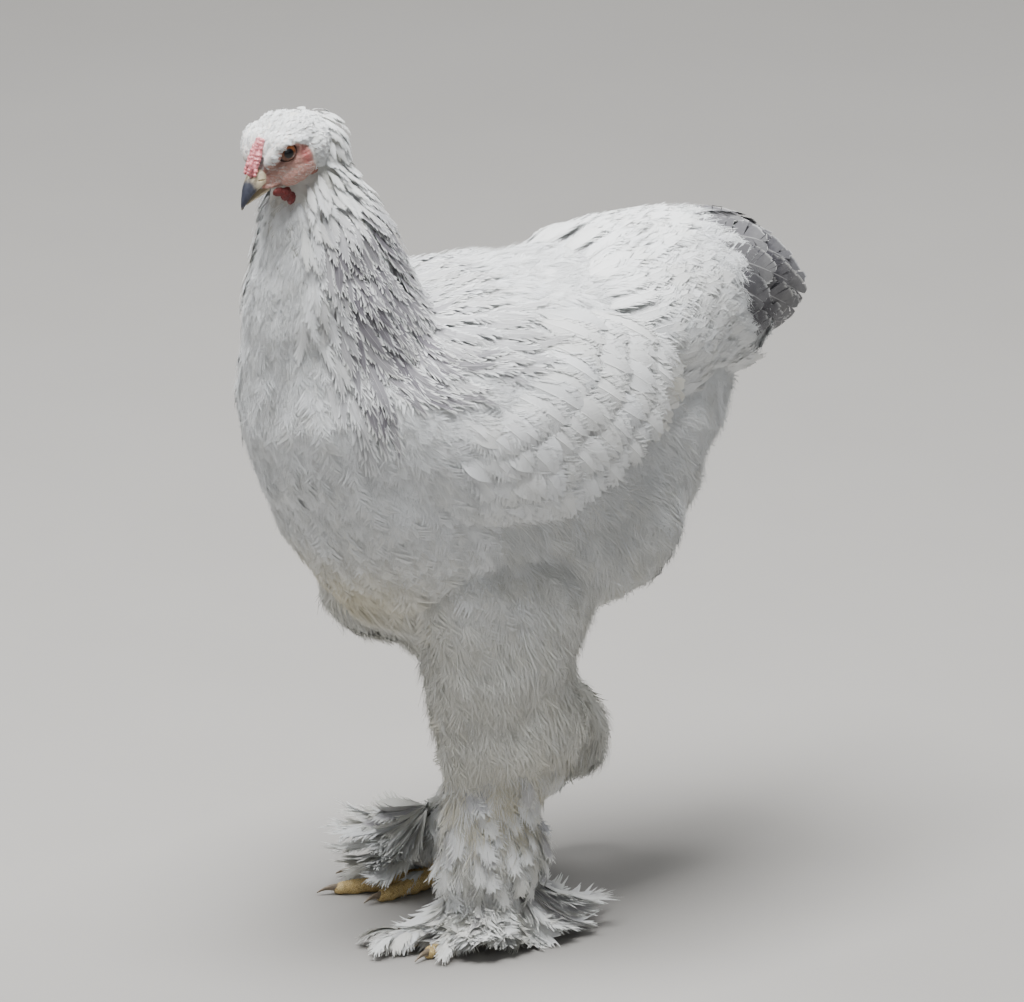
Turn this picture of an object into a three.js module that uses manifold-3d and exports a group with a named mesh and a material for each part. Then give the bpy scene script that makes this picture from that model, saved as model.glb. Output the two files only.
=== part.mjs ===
// A life-size, still model of a brahma pullet, standing as a museum shows it.
// Millimetres, +Z up. The bird looks along -Y, and +X is its left side. The floor is z = 0.
// Each part of the body is one closed solid. Where two parts touch, a gap of 0.3 mm parts them.
import * as THREE from "three";
import { mergeVertices } from "three/addons/utils/BufferGeometryUtils.js";
import Module from "manifold-3d";

const wasm = await Module();
wasm.setup();

// Driving dimensions
const GAP = 0.3; // between parts that touch
const CURVED_GAP = 0.5; // the same where both faces are faceted curves
const BLADE = 0.9; // thickness of a feather's vane
const SUNK = 3; // how deep a feather's root goes
const SHINGLE = 0.12; // turn of a feather about its shaft, in radians, that clears its neighbours
const HEAD_AT = new THREE.Vector3(1, -137, 552); // middle of the skull over the floor
const HEAD_NOD = 20; // degrees that the beak points below level
const HEAD_TURN = 14; // degrees that the head is turned to the bird's left
const EYE_R = 6;
const EYE_AT = { side: 17.2, ahead: -15, up: 8 }; // in the head's own frame
const BEAK_BASE = -31; // where the beak leaves the face, in the head's frame
const NECK_CUT = new THREE.Vector3(0, -120, 526); // the cut between head and neck
const NECK_LEAN = 12; // degrees that the top of the neck leans ahead
const HACKLE_DEPTH = 3.5; // the hackle stands this far off the neck
const TORSO_POWER = 2.2; // 2 would make the body's cross-sections ellipses
const WING_DEPTH = 5;
const WING = { y: -2, z: 362, long: 102, tall: 60, tilt: -5 }; // the folded arm under the flight feathers
const TOE_R = 6.4;
const TOE_END_R = 4.2;
const TOE_START = 5; // toes begin inside the ball of the foot
const CLAW_LENGTH = 13;
const PAD_R = 12.5; // the ball of the foot

const COLOURS = {
  white: 0xe6e8e2,
  grey: 0x75727a,
  comb: 0xc0525c,
  beak: 0x4a4744,
  horn: 0xb79a62,
  eye: 0x8a4a1e,
  toe: 0xcfa03f,
  claw: 0x8c8068,
};

const { degToRad, lerp, clamp, seededRandom } = THREE.MathUtils;
const vec = (x, y, z) => new THREE.Vector3(x, y, z);
const range = (count) => Array.from({ length: count }, (_, i) => i);
const signedPower = (value, power) => Math.sign(value) * Math.abs(value) ** power;
const varied = (value, amount) => value * (1 + amount * (2 * seededRandom() - 1));
seededRandom(7);

// A smooth curve through the rows of a table, which never swings past them. The first column is the place.
function profile(table) {
  const rows = table.toSorted((a, b) => a[0] - b[0]);
  const secant = (i, c) => (rows[i + 1][c] - rows[i][c]) / (rows[i + 1][0] - rows[i][0]);
  const slope = (i, c) => {
    if (i === 0) return secant(0, c);
    if (i === rows.length - 1) return secant(i - 1, c);
    const [before, after] = [secant(i - 1, c), secant(i, c)];
    return before * after <= 0 ? 0 : (2 * before * after) / (before + after);
  };
  return (place) => {
    const at = clamp(place, rows[0][0], rows[rows.length - 1][0]);
    const i = Math.min(rows.length - 2, Math.max(0, rows.findIndex((row) => row[0] >= at) - 1));
    const step = rows[i + 1][0] - rows[i][0];
    const u = (at - rows[i][0]) / step;
    return rows[i].slice(1).map((_, k) => {
      const c = k + 1;
      const ends = rows[i][c] * (1 + 2 * u) * (1 - u) ** 2 + rows[i + 1][c] * u * u * (3 - 2 * u);
      return ends + step * (slope(i, c) * u * (1 - u) ** 2 + slope(i + 1, c) * u * u * (u - 1));
    });
  };
}

// A closed three.js geometry as a manifold solid, turned to face out.
function solid(geometry) {
  const bare = geometry.clone();
  bare.deleteAttribute("normal");
  bare.deleteAttribute("uv");
  const merged = mergeVertices(bare, 1e-4);
  const build = (triVerts) =>
    new wasm.Manifold(
      new wasm.Mesh({ numProp: 3, vertProperties: merged.attributes.position.array, triVerts }),
    );
  const made = build(new Uint32Array(merged.index.array));
  return made.volume() > 0 ? made : build(new Uint32Array(merged.index.array).reverse());
}

function solidOf(points, faces) {
  const geometry = new THREE.BufferGeometry().setFromPoints(points);
  geometry.setIndex(faces);
  return solid(geometry);
}

// A closed solid through rings of points, each end closed on its own middle.
function loft(rings) {
  const count = rings[0].length;
  const middle = (ring) => ring.reduce((sum, p) => sum.add(p), vec(0, 0, 0)).divideScalar(count);
  const points = [...rings.flat(), middle(rings[0]), middle(rings[rings.length - 1])];
  const last = (rings.length - 1) * count;
  const faces = [];
  for (let i = 0; i < count; i++) {
    const j = (i + 1) % count;
    for (let base = 0; base < last; base += count)
      faces.push(base + i, base + j, base + count + j, base + i, base + count + j, base + count + i);
    faces.push(points.length - 2, j, i, points.length - 1, last + i, last + j);
  }
  return solidOf(points, faces);
}

// A ring of points, counted from the direction where both sine and cosine are taken
const ring = (count, pointAt) =>
  range(count).map((k) => pointAt(Math.sin((2 * Math.PI * k) / count), Math.cos((2 * Math.PI * k) / count)));

const ball = (at, scale, around = 10) =>
  solid(new THREE.SphereGeometry(1, around, around / 2))
    .scale([scale.x, scale.y, scale.z])
    .translate([at.x, at.y, at.z]);
const union = (pieces) => wasm.Manifold.union(pieces);
const largest = (whole) =>
  whole.decompose().reduce((best, piece) => (piece.volume() > best.volume() ? piece : best));
const aboveFloor = (piece) => piece.trimByPlane([0, 0, 1], 0);

// A piece less another, which it then clears by a gap on every side.
function clearOf(piece, other, gap = GAP) {
  const along = (axis, by) => range(3).map((k) => (k === axis ? by : 0));
  const steps = [0, 1, 2].flatMap((axis) => [along(axis, -gap), along(axis, gap)]);
  return steps.reduce((kept, step) => kept.subtract(other.translate(step)), piece);
}

// One named part: a solid with a material of its own.
function part(name, whole, colour, roughness = 0.8) {
  const { vertProperties, triVerts, numProp } = largest(whole).getMesh();
  const geometry = new THREE.BufferGeometry();
  geometry.setAttribute("position", new THREE.Float32BufferAttribute(vertProperties, numProp));
  geometry.setIndex(new THREE.Uint32BufferAttribute(triVerts, 1));
  geometry.computeVertexNormals();
  const material = new THREE.MeshStandardMaterial({ color: colour, roughness, metalness: 0 });
  const mesh = new THREE.Mesh(geometry, material);
  mesh.name = name;
  return mesh;
}

// One feather: a thin blade along a spine, with the way its face looks and its half width at each point.
// Both faces are split into the same triangles, so that the blade keeps its thickness.
function feather(spine, looks, halves, turn = 0) {
  const last = spine.length - 1;
  const points = spine.flatMap((at, i) => {
    const along = spine[Math.min(i + 1, last)].clone().sub(spine[Math.max(i - 1, 0)]).normalize();
    const side = along.clone().cross(looks[i]).normalize().applyAxisAngle(along, turn);
    const out = side.clone().cross(along);
    return [-1, 1].flatMap((edge) =>
      [BLADE / 2, -BLADE / 2].map((off) =>
        at.clone().addScaledVector(side, edge * halves[i]).addScaledVector(out, off),
      ),
    );
  });
  // Four corners a row: outer and inner face of the one edge, then of the other
  const faces = [];
  const quad = (a, b, c, d) => faces.push(a, b, c, a, c, d);
  for (let i = 0; i < 4 * last; i += 4) {
    const [a, b, c, d] = [i, i + 1, i + 2, i + 3];
    const [e, f, g, h] = [i + 4, i + 5, i + 6, i + 7];
    quad(a, e, g, c);
    faces.push(b, h, f, b, d, h);
    quad(e, a, b, f);
    quad(c, g, h, d);
  }
  quad(0, 2, 3, 1);
  quad(4 * last + 2, 4 * last, 4 * last + 1, 4 * last + 3);
  return solidOf(points, faces);
}

// Half widths along a feather from root to tip, as shares of its widest
const LANCE = { at: [0, 0.3, 0.68, 1], wide: [0.5, 0.95, 0.85, 0.12] };
const ROUND = { at: [0, 0.25, 0.58, 0.84, 1], wide: [0.55, 0.92, 1, 0.84, 0.3] };
const TUFT = { at: [0, 0.28, 0.7, 1], wide: [0.55, 0.95, 0.9, 0.25] };

// The way a smooth function of place grows fastest, and its slope
function slopeOf(value, at) {
  const step = 0.5;
  const along = [vec(step, 0, 0), vec(0, step, 0), vec(0, 0, step)];
  return vec(...along.map((by) => (value(at.clone().add(by)) - value(at.clone().sub(by))) / (2 * step)));
}

// Distance from a surface, where measure is 1 on it
const heightOver = (measure) => (at) => (measure(at) - 1) / slopeOf(measure, at).length();
const blended = (first, second, reach) => (at) => {
  const [a, b] = [first(at), second(at)];
  const near = Math.max(reach - Math.abs(a - b), 0) / reach;
  return Math.min(a, b) - (near * near * reach) / 4;
};

// A feather that runs over a surface from its root, at the wanted height over it at each station
function laidFeather(height, root, heading, length, half, lift, shape) {
  const at = root.clone();
  const way = heading.clone();
  const spine = [];
  const looks = [];
  shape.at.forEach((share, i) => {
    if (i > 0) at.addScaledVector(way, length * (share - shape.at[i - 1]));
    for (let tries = 0; tries < 3; tries++)
      at.addScaledVector(slopeOf(height, at).normalize(), lift(share) - height(at));
    const out = slopeOf(height, at).normalize();
    way.addScaledVector(out, -way.dot(out)).normalize();
    spine.push(at.clone());
    looks.push(out);
  });
  return feather(spine, looks, shape.wide.map((width) => width * half));
}

// Torso: y, top, bottom, half width, height of the widest line
const torsoAt = profile([
  [-162, 372, 366, 3, 369],
  [-158, 396, 344, 28, 370],
  [-148, 416, 314, 50, 370],
  [-132, 430, 282, 67, 366],
  [-108, 438, 240, 80, 356],
  [-75, 443, 208, 88, 345],
  [-35, 446, 190, 91, 335],
  [5, 445, 182, 92, 325],
  [45, 443, 183, 92, 318],
  [85, 443, 192, 88, 318],
  [115, 445, 208, 82, 322],
  [138, 445, 232, 74, 328],
  [155, 437, 258, 66, 332],
  [172, 418, 280, 56, 336],
  [188, 392, 298, 45, 340],
  [201, 368, 316, 29, 341],
  [208, 350, 332, 3, 341],
]);
const TORSO_ENDS = [-162, 208];
const TORSO_RINGS = 18;
const TORSO_SIDES = 20;

function torsoSolid(grow = 0) {
  const rings = range(TORSO_RINGS).map((i) => {
    // The rings crowd towards both ends, where the body rounds off.
    const share = (1 - Math.cos((Math.PI * i) / (TORSO_RINGS - 1))) / 2;
    const y = lerp(...TORSO_ENDS, share);
    const [top, bottom, half, wide] = torsoAt(y);
    return ring(TORSO_SIDES, (sine, cosine) => {
      const [s, c] = [sine, cosine].map((v) => signedPower(v, 2 / TORSO_POWER));
      const tall = c > 0 ? top - wide : wide - bottom;
      return vec((half + grow) * s, y + grow * (4 * share - 2), wide + (tall + grow) * c);
    });
  });
  return loft(rings);
}

const torsoMeasure = ({ x, y, z }) => {
  const [top, bottom, half, wide] = torsoAt(y);
  const tall = z > wide ? top - wide : wide - bottom;
  const sum = Math.abs(x / half) ** TORSO_POWER + Math.abs((z - wide) / tall) ** TORSO_POWER;
  return sum ** (1 / TORSO_POWER);
};

// How far the torso's side is from the middle plane, at a place along and up the body
function flank(y, z) {
  const [top, bottom, half, wide] = torsoAt(y);
  const tall = z > wide ? top - wide : wide - bottom;
  return half * Math.max(0, 1 - Math.min(1, Math.abs(z - wide) / tall) ** TORSO_POWER) ** (1 / TORSO_POWER);
}

// Neck: height, middle across and along the body, half width, half depth
const neckAt = profile([
  [320, 0, -62, 78, 80],
  [370, 0, -76, 80, 84],
  [403, 0, -88, 70, 73],
  [440, 0, -101, 58, 61],
  [468, 1, -107, 50, 53],
  [506, 2, -115, 35, 40],
  [530, 3, -120, 23, 28],
  [552, 3, -124, 12, 12],
]);
const NECK_ENDS = [320, 552];

function neckSolid(grow = 0, low = NECK_ENDS[0], count = 9) {
  const rings = range(count).map((i) => {
    const z = lerp(low, NECK_ENDS[1], i / (count - 1));
    const [x, y, wide, deep] = neckAt(z);
    return ring(18, (s, c) => {
      // The hackle covers the sides and the nape, so the neck under it is slimmer there.
      const slim = grow - (HACKLE_DEPTH * (1 - c)) / 2;
      return vec(x + (wide + slim) * s, y - (deep + slim) * c, z);
    });
  });
  return loft(rings);
}

const neckMeasure = ({ x, y, z }) => {
  const [middleX, middleY, wide, deep] = neckAt(z);
  return Math.hypot((x - middleX) / (wide - HACKLE_DEPTH), (y - middleY) / (deep - HACKLE_DEPTH));
};

// The neck's cut is one plane, and the head keeps 0.3 mm off it.
const cutNormal = vec(0, -Math.sin(degToRad(NECK_LEAN)), Math.cos(degToRad(NECK_LEAN)));
const cutAt = cutNormal.dot(NECK_CUT);
const overCut = (whole) => whole.trimByPlane(cutNormal.toArray(), cutAt + GAP);
const underCut = (whole) => whole.trimByPlane(cutNormal.clone().negate().toArray(), -cutAt);

// The folded wing's place: how far a spot is from its middle, where 1 is the rim of the arm
function wingShare(y, z) {
  const tilt = degToRad(WING.tilt);
  const [along, up] = [y - WING.y, z - WING.z];
  const u = along * Math.cos(tilt) + up * Math.sin(tilt);
  const v = up * Math.cos(tilt) - along * Math.sin(tilt);
  return Math.hypot(u / WING.long, v / WING.tall);
}
const wingMound = (y, z) => WING_DEPTH * Math.max(0, 1 - wingShare(y, z) ** 2) ** 1.2;
const wingSurface = (y, z) => flank(y, z) + wingMound(y, z);

// The body with its wings on, for the hackle that lies over them
const bodyMeasure = (at) => {
  const { x, y, z } = at;
  const widened = flank(y, z) > 0 ? flank(y, z) / (wingSurface(y, z) + (wingMound(y, z) > 0 ? 1 : 0)) : 1;
  return torsoMeasure(vec(x * widened, y, z));
};

// Hackle: tiers of narrow feathers that fall from the head over the shoulders. Height and count of each
const HACKLE_TIERS = [
  [508, 5, 64],
  [484, 7, 72],
  [456, 7, 78],
  [426, 8, 84],
];
const HACKLE_OPEN = 36; // degrees to each side of the front of the neck that have no hackle

function hackle() {
  const height = blended(heightOver(neckMeasure), heightOver(bodyMeasure), 15);
  return HACKLE_TIERS.flatMap(([z, count, length], tier) => {
    const [x, y, wide, deep] = neckAt(z);
    const span = degToRad(360 - 2 * HACKLE_OPEN);
    const spacing = (span * (wide + deep)) / 2 / count;
    return range(count).map((i) => {
      const angle = degToRad(HACKLE_OPEN) + (span * (i + 0.5 + (tier % 2 ? 0.25 : -0.25))) / count;
      const root = vec(x + (wide - SUNK) * Math.sin(angle), y - (deep - SUNK) * Math.cos(angle), z);
      const lift = (share) => (share < 0.1 ? -SUNK : lerp(0.9, 5.6, (share - 0.1) / 0.9));
      const heading = vec(0.1 * Math.sin(angle), 0.32, -1);
      // On the shoulders the low tiers end before the wings' own feathers begin.
      const shorter = 1 - 0.5 * clamp((455 - z) / 45, 0, 1) * Math.sin(angle) ** 2;
      const long = varied(length * shorter, 0.06);
      return laidFeather(height, root, heading, long, varied(spacing * 0.42, 0.05), lift, LANCE);
    });
  });
}

// Wing feathers. Each row of them is a table: place in the row, root along and up, tip, half width.
const WING_ROWS = [
  { count: 3, over: 2.2, rows: [
    [0, -50, 332, 104, 321, 8.5],
    [1, -60, 319, 74, 306, 8.5],
    [2, -66, 306, 34, 292, 8.5],
  ] },
  { count: 6, over: 5.9, rows: [
    [0, 24, 408, 94, 402, 10.5],
    [2, -14, 376, 127, 369, 11],
    [3.5, -38, 353, 124, 343, 11],
    [5, -60, 328, 86, 320, 10.5],
  ] },
  { count: 5, over: 9.6, rows: [
    [0, -4, 412, 56, 407, 11.5],
    [2, -38, 375, 74, 366, 12],
    [4, -66, 336, 28, 326, 11.5],
  ] },
  { count: 3, over: 12.8, rows: [
    [0, -38, 404, 14, 402, 13],
    [1, -56, 376, 16, 368, 13.5],
    [2, -72, 348, -18, 336, 13],
  ] },
];

function wingFeathers(side) {
  return WING_ROWS.flatMap(({ count, over, rows }) => {
    const rowAt = profile(rows);
    return range(count).map((i) => {
      const [rootY, rootZ, tipY, tipZ, half] = rowAt(i);
      const spine = [];
      const looks = [];
      for (const share of ROUND.at) {
        const y = lerp(rootY, tipY, share);
        const z = lerp(rootZ, tipZ, share) + 5 * Math.sin(Math.PI * share);
        const slopeY = wingSurface(y + 2, z) - wingSurface(y - 2, z);
        const slopeZ = wingSurface(y, z + 2) - wingSurface(y, z - 2);
        spine.push(vec(side * (wingSurface(y, z) + (share === 0 ? -SUNK : over)), y, z));
        looks.push(vec(side * 4, -slopeY, -slopeZ).normalize());
      }
      return feather(spine, looks, ROUND.wide.map((width) => width * half), -side * SHINGLE);
    });
  });
}

function wingSolid(side) {
  const tilt = degToRad(WING.tilt);
  const outline = (share, rise) =>
    ring(14, (s, c) => {
      const [u, v] = [c * share * WING.long, s * share * WING.tall];
      const y = WING.y + u * Math.cos(tilt) - v * Math.sin(tilt);
      const z = WING.z + v * Math.cos(tilt) + u * Math.sin(tilt);
      return vec(side * (wingSurface(y, z) + rise), y, z);
    });
  const rings = [0.3, 0.7, 0.95].map((share) => outline(share, 1.2));
  const arm = loft([...rings, outline(1, -5)]);
  return union([arm, ...wingFeathers(side)]);
}

// Tail: along, top, bottom, half width. Its feathers are laid on this tent, and stay open at the end.
const tailAt = profile([
  [135, 438, 392, 36],
  [160, 445, 356, 42],
  [190, 442, 338, 46],
  [215, 435, 332, 44],
  [235, 422, 334, 40],
  [250, 405, 340, 37],
  [260, 392, 346, 34],
]);

// A spot on the tail's tent, with its way out. The angle is counted from the top.
function onTail(y, angle, inside) {
  const [top, bottom, half] = tailAt(y);
  const [middle, tall] = [(top + bottom) / 2, (top - bottom) / 2];
  const out = vec(Math.sin(angle) / half, 0, Math.cos(angle) / tall).normalize();
  const at = vec(half * Math.sin(angle), y, middle + tall * Math.cos(angle));
  return { at: at.addScaledVector(out, -inside), out };
}

// Rows of tail feathers: count to each side, root and tip at the top and side, half widths, depth inside
const TAIL_ROWS = [
  { count: 5, roots: [176, 192], tips: [258, 236], halves: [8.5, 11], inside: 8, from: 14, to: 114 },
  { count: 4, roots: [162, 188], tips: [234, 216], halves: [9, 12], inside: 4, from: 18, to: 94 },
  { count: 3, roots: [152, 178], tips: [208, 202], halves: [10.5, 13], inside: 0, from: 20, to: 78 },
];
const TAIL_SHINGLE = 0.16;
const TAIL_CORE = { from: 142, to: 212, inside: 10 };

function tailSolid() {
  const core = loft(
    range(6).map((i) => {
      const y = lerp(TAIL_CORE.from, TAIL_CORE.to, i / 5);
      return ring(12, (s, c) => onTail(y, Math.atan2(s, c), TAIL_CORE.inside + 14 * (i / 5) ** 6).at);
    }),
  );
  const feathers = TAIL_ROWS.flatMap(({ count, roots, tips, halves, inside, from, to }) =>
    [1, -1].flatMap((side) =>
      range(count).map((i) => {
        const share = i / (count - 1);
        const angle = degToRad(lerp(from, to, share)) * side;
        const tip = varied(lerp(...tips, share), 0.006);
        const places = ROUND.at.map((along) => {
          const depth = along === 0 ? TAIL_CORE.inside + SUNK : inside;
          return onTail(lerp(lerp(...roots, share), tip, along), angle, depth);
        });
        const widths = ROUND.wide.map((width) => width * lerp(...halves, share));
        const [spine, looks] = [places.map(({ at }) => at), places.map(({ out }) => out)];
        return feather(spine, looks, widths, -side * TAIL_SHINGLE);
      }),
    ),
  );
  return union([core, ...feathers]);
}

// The head's own frame has its origin in the middle of the skull.
const head = new THREE.Group();
head.position.copy(HEAD_AT);
head.rotation.set(degToRad(HEAD_NOD), 0, degToRad(HEAD_TURN), "ZYX");
head.updateMatrix();
const intoHead = (whole) => whole.transform(head.matrix.clone().invert().elements);
const outOfHead = (whole) => whole.transform(head.matrix.elements);

// Skull with its feathers: along, middle height, half width, height over and under the middle
const skullAt = profile([
  [-37, -5, 7, 5, 8],
  [-31, -4, 12, 11, 12],
  [-25, -2, 17.5, 17, 17],
  [-16, 0, 22.5, 20.5, 21],
  [-5, 0, 25.5, 22.5, 24],
  [8, 0, 26, 23, 26],
  [20, -1, 20.5, 21, 25],
  [28, -2, 13, 15, 18],
  [32, -3, 3, 4, 4],
]);

function skullSolid() {
  const rings = range(10).map((i) => {
    const y = lerp(-37, 32, i / 9);
    const [middle, wide, over, under] = skullAt(y);
    return ring(14, (s, c) => vec(wide * s, y, middle + (c > 0 ? over : under) * c));
  });
  return loft(rings);
}

// Upper and lower beak: along, top, bottom, half width
const BEAK = {
  upper: [
    [BEAK_BASE, 3, -8.5, 8],
    [-37, 0.5, -9.2, 6.8],
    [-43, -3.2, -10.4, 5],
    [-48, -7.8, -13, 2.9],
    [-52.5, -14.2, -16, 0.7],
  ],
  lower: [
    [BEAK_BASE, -9.2, -15.6, 6.8],
    [-38, -9.8, -15.2, 5.4],
    [-44, -11.2, -14.8, 3.4],
    [-48, -13.7, -15.2, 1.1],
  ],
};

function beakSolid(rows) {
  const at = profile(rows);
  const tip = rows[rows.length - 1][0];
  const rings = range(6).map((i) => {
    const y = lerp(BEAK_BASE, tip, i / 5);
    const [top, bottom, half] = at(y);
    return ring(10, (s, c) => vec(half * s, y, (top + bottom) / 2 + ((top - bottom) / 2) * c));
  });
  return loft(rings);
}

function eyeBall(side, grow = 0) {
  const r = EYE_R + grow;
  return ball(vec(side * EYE_AT.side, EYE_AT.ahead, EYE_AT.up), vec(r, r, r), 10);
}

// The rim of both lids, a ring round the opening that leans in towards the beak
const lids = (side) =>
  solid(new THREE.TorusGeometry(5.9, 1.5, 4, 9))
    .scale([1.12, 0.9, 1])
    .rotate([90, 0, 90 - side * 16])
    .translate([side * (EYE_AT.side + 3.2), EYE_AT.ahead, EYE_AT.up]);

// The brow overhangs the eye.
const brow = (side) =>
  ball(vec(0, 0, 0), vec(5, 11, 4), 8)
    .rotate([-12, 0, -side * 16])
    .translate([side * (EYE_AT.side + 0.4), EYE_AT.ahead + 3, EYE_AT.up + 8]);
const earHollow = (side) => ball(vec(side * 26.5, 6, -4), vec(3.4, 4.2, 3.6), 8);

// Wattles: two soft folds each, one behind the other
const wattle = (side, grow = 0) =>
  union([
    ball(vec(side * 12.5, -29, -19), vec(2.9 + grow, 4.8 + grow, 6 + grow), 8),
    ball(vec(side * 13.8, -24.5, -20.5), vec(2.6 + grow, 4.2 + grow, 7 + grow), 8),
  ]);
const earlobe = (side, grow = 0) =>
  ball(vec(side * 22.5, 2, -15), vec(3.4 + grow, 4.6 + grow, 5.6 + grow), 8);

// Pea comb: three low rows of bulbs from the forehead down to the beak, the middle row highest
const COMB_ROWS = [
  { x: 0, bulbs: 4, size: 3.1, rise: 1.2 },
  { x: 3.4, bulbs: 3, size: 2.5, rise: -0.2 },
  { x: -3.4, bulbs: 3, size: 2.5, rise: -0.2 },
];

function combSolid(grow = 0) {
  const bulbs = COMB_ROWS.flatMap(({ x, bulbs: count, size, rise }) =>
    range(count).map((i) => {
      const share = (i + 0.5) / count;
      const swell = size * (0.8 + 0.35 * Math.sin(Math.PI * share)) + grow;
      return ball(vec(x, lerp(-11.5, 11.5, share), rise), vec(swell, swell * 1.1, swell), 6);
    }),
  );
  const base = ball(vec(0, 0, -1.2), vec(4 + grow, 12.5 + grow, 2.4 + grow), 8);
  return union([base, ...bulbs]).rotate([46, 0, 0]).translate([0, -28.5, 11.5]);
}

const nostril = (side) => ball(vec(side * 6.4, -36.5, -1.6), vec(1.5, 2.8, 0.9), 6);
const mouthLine = () => ball(vec(0, -30, -9), vec(15, 11, 0.8), 8);

const SIDES = { left: 1, right: -1 };
const bird = new THREE.Group();
bird.add(head);

const faceForms = [1, -1].flatMap((side) => [lids(side), brow(side)]);
let headCut = union([skullSolid(), intoHead(neckSolid(HACKLE_DEPTH / 2, 505, 3)), ...faceForms]);
for (const side of [1, -1])
  headCut = headCut
    .subtract(eyeBall(side, CURVED_GAP))
    .subtract(wattle(side, CURVED_GAP))
    .subtract(earlobe(side, CURVED_GAP))
    .subtract(earHollow(side));
headCut = headCut
  .subtract(combSolid(CURVED_GAP))
  .subtract(mouthLine())
  .trimByPlane([0, 1, 0], BEAK_BASE + GAP);
headCut = intoHead(overCut(outOfHead(headCut)));
const neckInHead = intoHead(underCut(neckSolid(HACKLE_DEPTH / 2 + CURVED_GAP, 480, 4)));
const upperBeak = beakSolid(BEAK.upper).subtract(combSolid(CURVED_GAP));
head.add(part("head", headCut, COLOURS.white));
head.add(part("comb", combSolid(), COLOURS.comb, 0.5));
head.add(part("beak_upper", upperBeak.subtract(nostril(1)).subtract(nostril(-1)), COLOURS.beak, 0.35));
head.add(part("beak_lower", beakSolid(BEAK.lower), COLOURS.horn, 0.4));
for (const [name, side] of Object.entries(SIDES)) {
  head.add(part(`eye_${name}`, eyeBall(side), COLOURS.eye, 0.1));
  head.add(part(`wattle_${name}`, wattle(side).subtract(neckInHead), COLOURS.comb, 0.5));
  head.add(part(`earlobe_${name}`, earlobe(side), COLOURS.comb, 0.55));
}

// Legs: a feathered thigh, then the shank and its feathers down to the ankle.
// The rows give height, middle across and along, half width and half length.
const LEGS = {
  left: {
    side: 1,
    foot: [45, -14],
    turn: -12,
    thigh: [
      [91, 48, 14, 6, 8],
      [95, 48, 8, 20, 30],
      [105, 48, 2, 29, 46],
      [120, 49, 1, 33, 56],
      [138, 49, 3, 36, 57],
      [158, 50, -4, 38, 57],
      [184, 51, -8, 41, 60],
      [215, 52, -4, 42, 66],
      [250, 50, 0, 36, 62],
    ],
    shank: [
      [16, 49, -17, 33, 42],
      [22, 49, -17, 34, 44],
      [35, 50, -13, 33, 46],
      [55, 50, -11, 30, 46],
      [75, 48, -15, 28, 42],
      [95, 48, -19, 27, 38],
      [112, 48, -10, 22, 30],
    ],
    // Long feathers that spread from the ankle: degrees from the front, reach, height of the tip, half width
    fan: [
      [62, 52, 18, 9],
      [84, 50, 9, 9],
      [106, 46, 5, 9],
      [128, 44, 4, 9],
      [150, 66, 6, 10],
      [174, 88, 15, 11],
    ],
    toeFeathers: { inner: [2, 0.3, 1], middle: [3, 0.3, 1.34], outer: [3, 0.3, 1.05] },
  },
  right: {
    side: -1,
    foot: [-45, 14],
    turn: 22,
    thigh: [
      [56, -46, 130, 6, 8],
      [65, -46, 122, 20, 28],
      [91, -46, 110, 26, 40],
      [112, -47, 92, 30, 43],
      [134, -48, 72, 33, 46],
      [167, -50, 42, 38, 55],
      [215, -51, 20, 42, 66],
      [250, -50, 16, 36, 62],
    ],
    shank: [
      [16, -50, 14, 33, 36],
      [22, -50, 16, 34, 37],
      [35, -50, 27, 32, 36],
      [55, -48, 45, 29, 35],
      [75, -46, 62, 27, 34],
      [95, -46, 76, 25, 32],
      [112, -46, 84, 22, 28],
    ],
    fan: [
      [34, 62, 19, 9],
      [50, 68, 24, 10],
      [66, 70, 45, 11],
      [86, 58, 22, 10],
      [108, 52, 8, 9],
      [136, 52, 6, 10],
    ],
    toeFeathers: { middle: [1, 0.25, 0.75], outer: [3, 0.3, 1.1] },
  },
};
const FAN_ROOT = { out: 12, up: 44 };

// A solid through level ellipses, as feathered legs are
function columnSolid(rows, grow = 0, count = 8, sides = 14) {
  const at = profile(rows);
  const [low, high] = [rows[0][0], rows[rows.length - 1][0]];
  const rings = range(count).map((i) => {
    const z = lerp(low - grow, high, (i / (count - 1)) ** 1.4);
    const [x, y, wide, long] = at(z);
    return ring(sides, (s, c) => vec(x + (wide + grow) * s, y + (long + grow) * c, z));
  });
  return loft(rings);
}

const columnMeasure = (rows, grow) => {
  const rowAt = profile(rows);
  return ({ x, y, z }) => {
    const [middleX, middleY, wide, long] = rowAt(z);
    return Math.hypot((x - middleX) / (wide + grow), (y - middleY) / (long + grow));
  };
};

// Shank feathers: tiers all round that fall along the shank, and a fan of long ones over the foot
const SHANK_TIERS = [
  [86, 4],
  [62, 4],
  [40, 4],
];
const SHANK_LENGTH = 34;
const SHANK_SLIM = -7;

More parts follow.
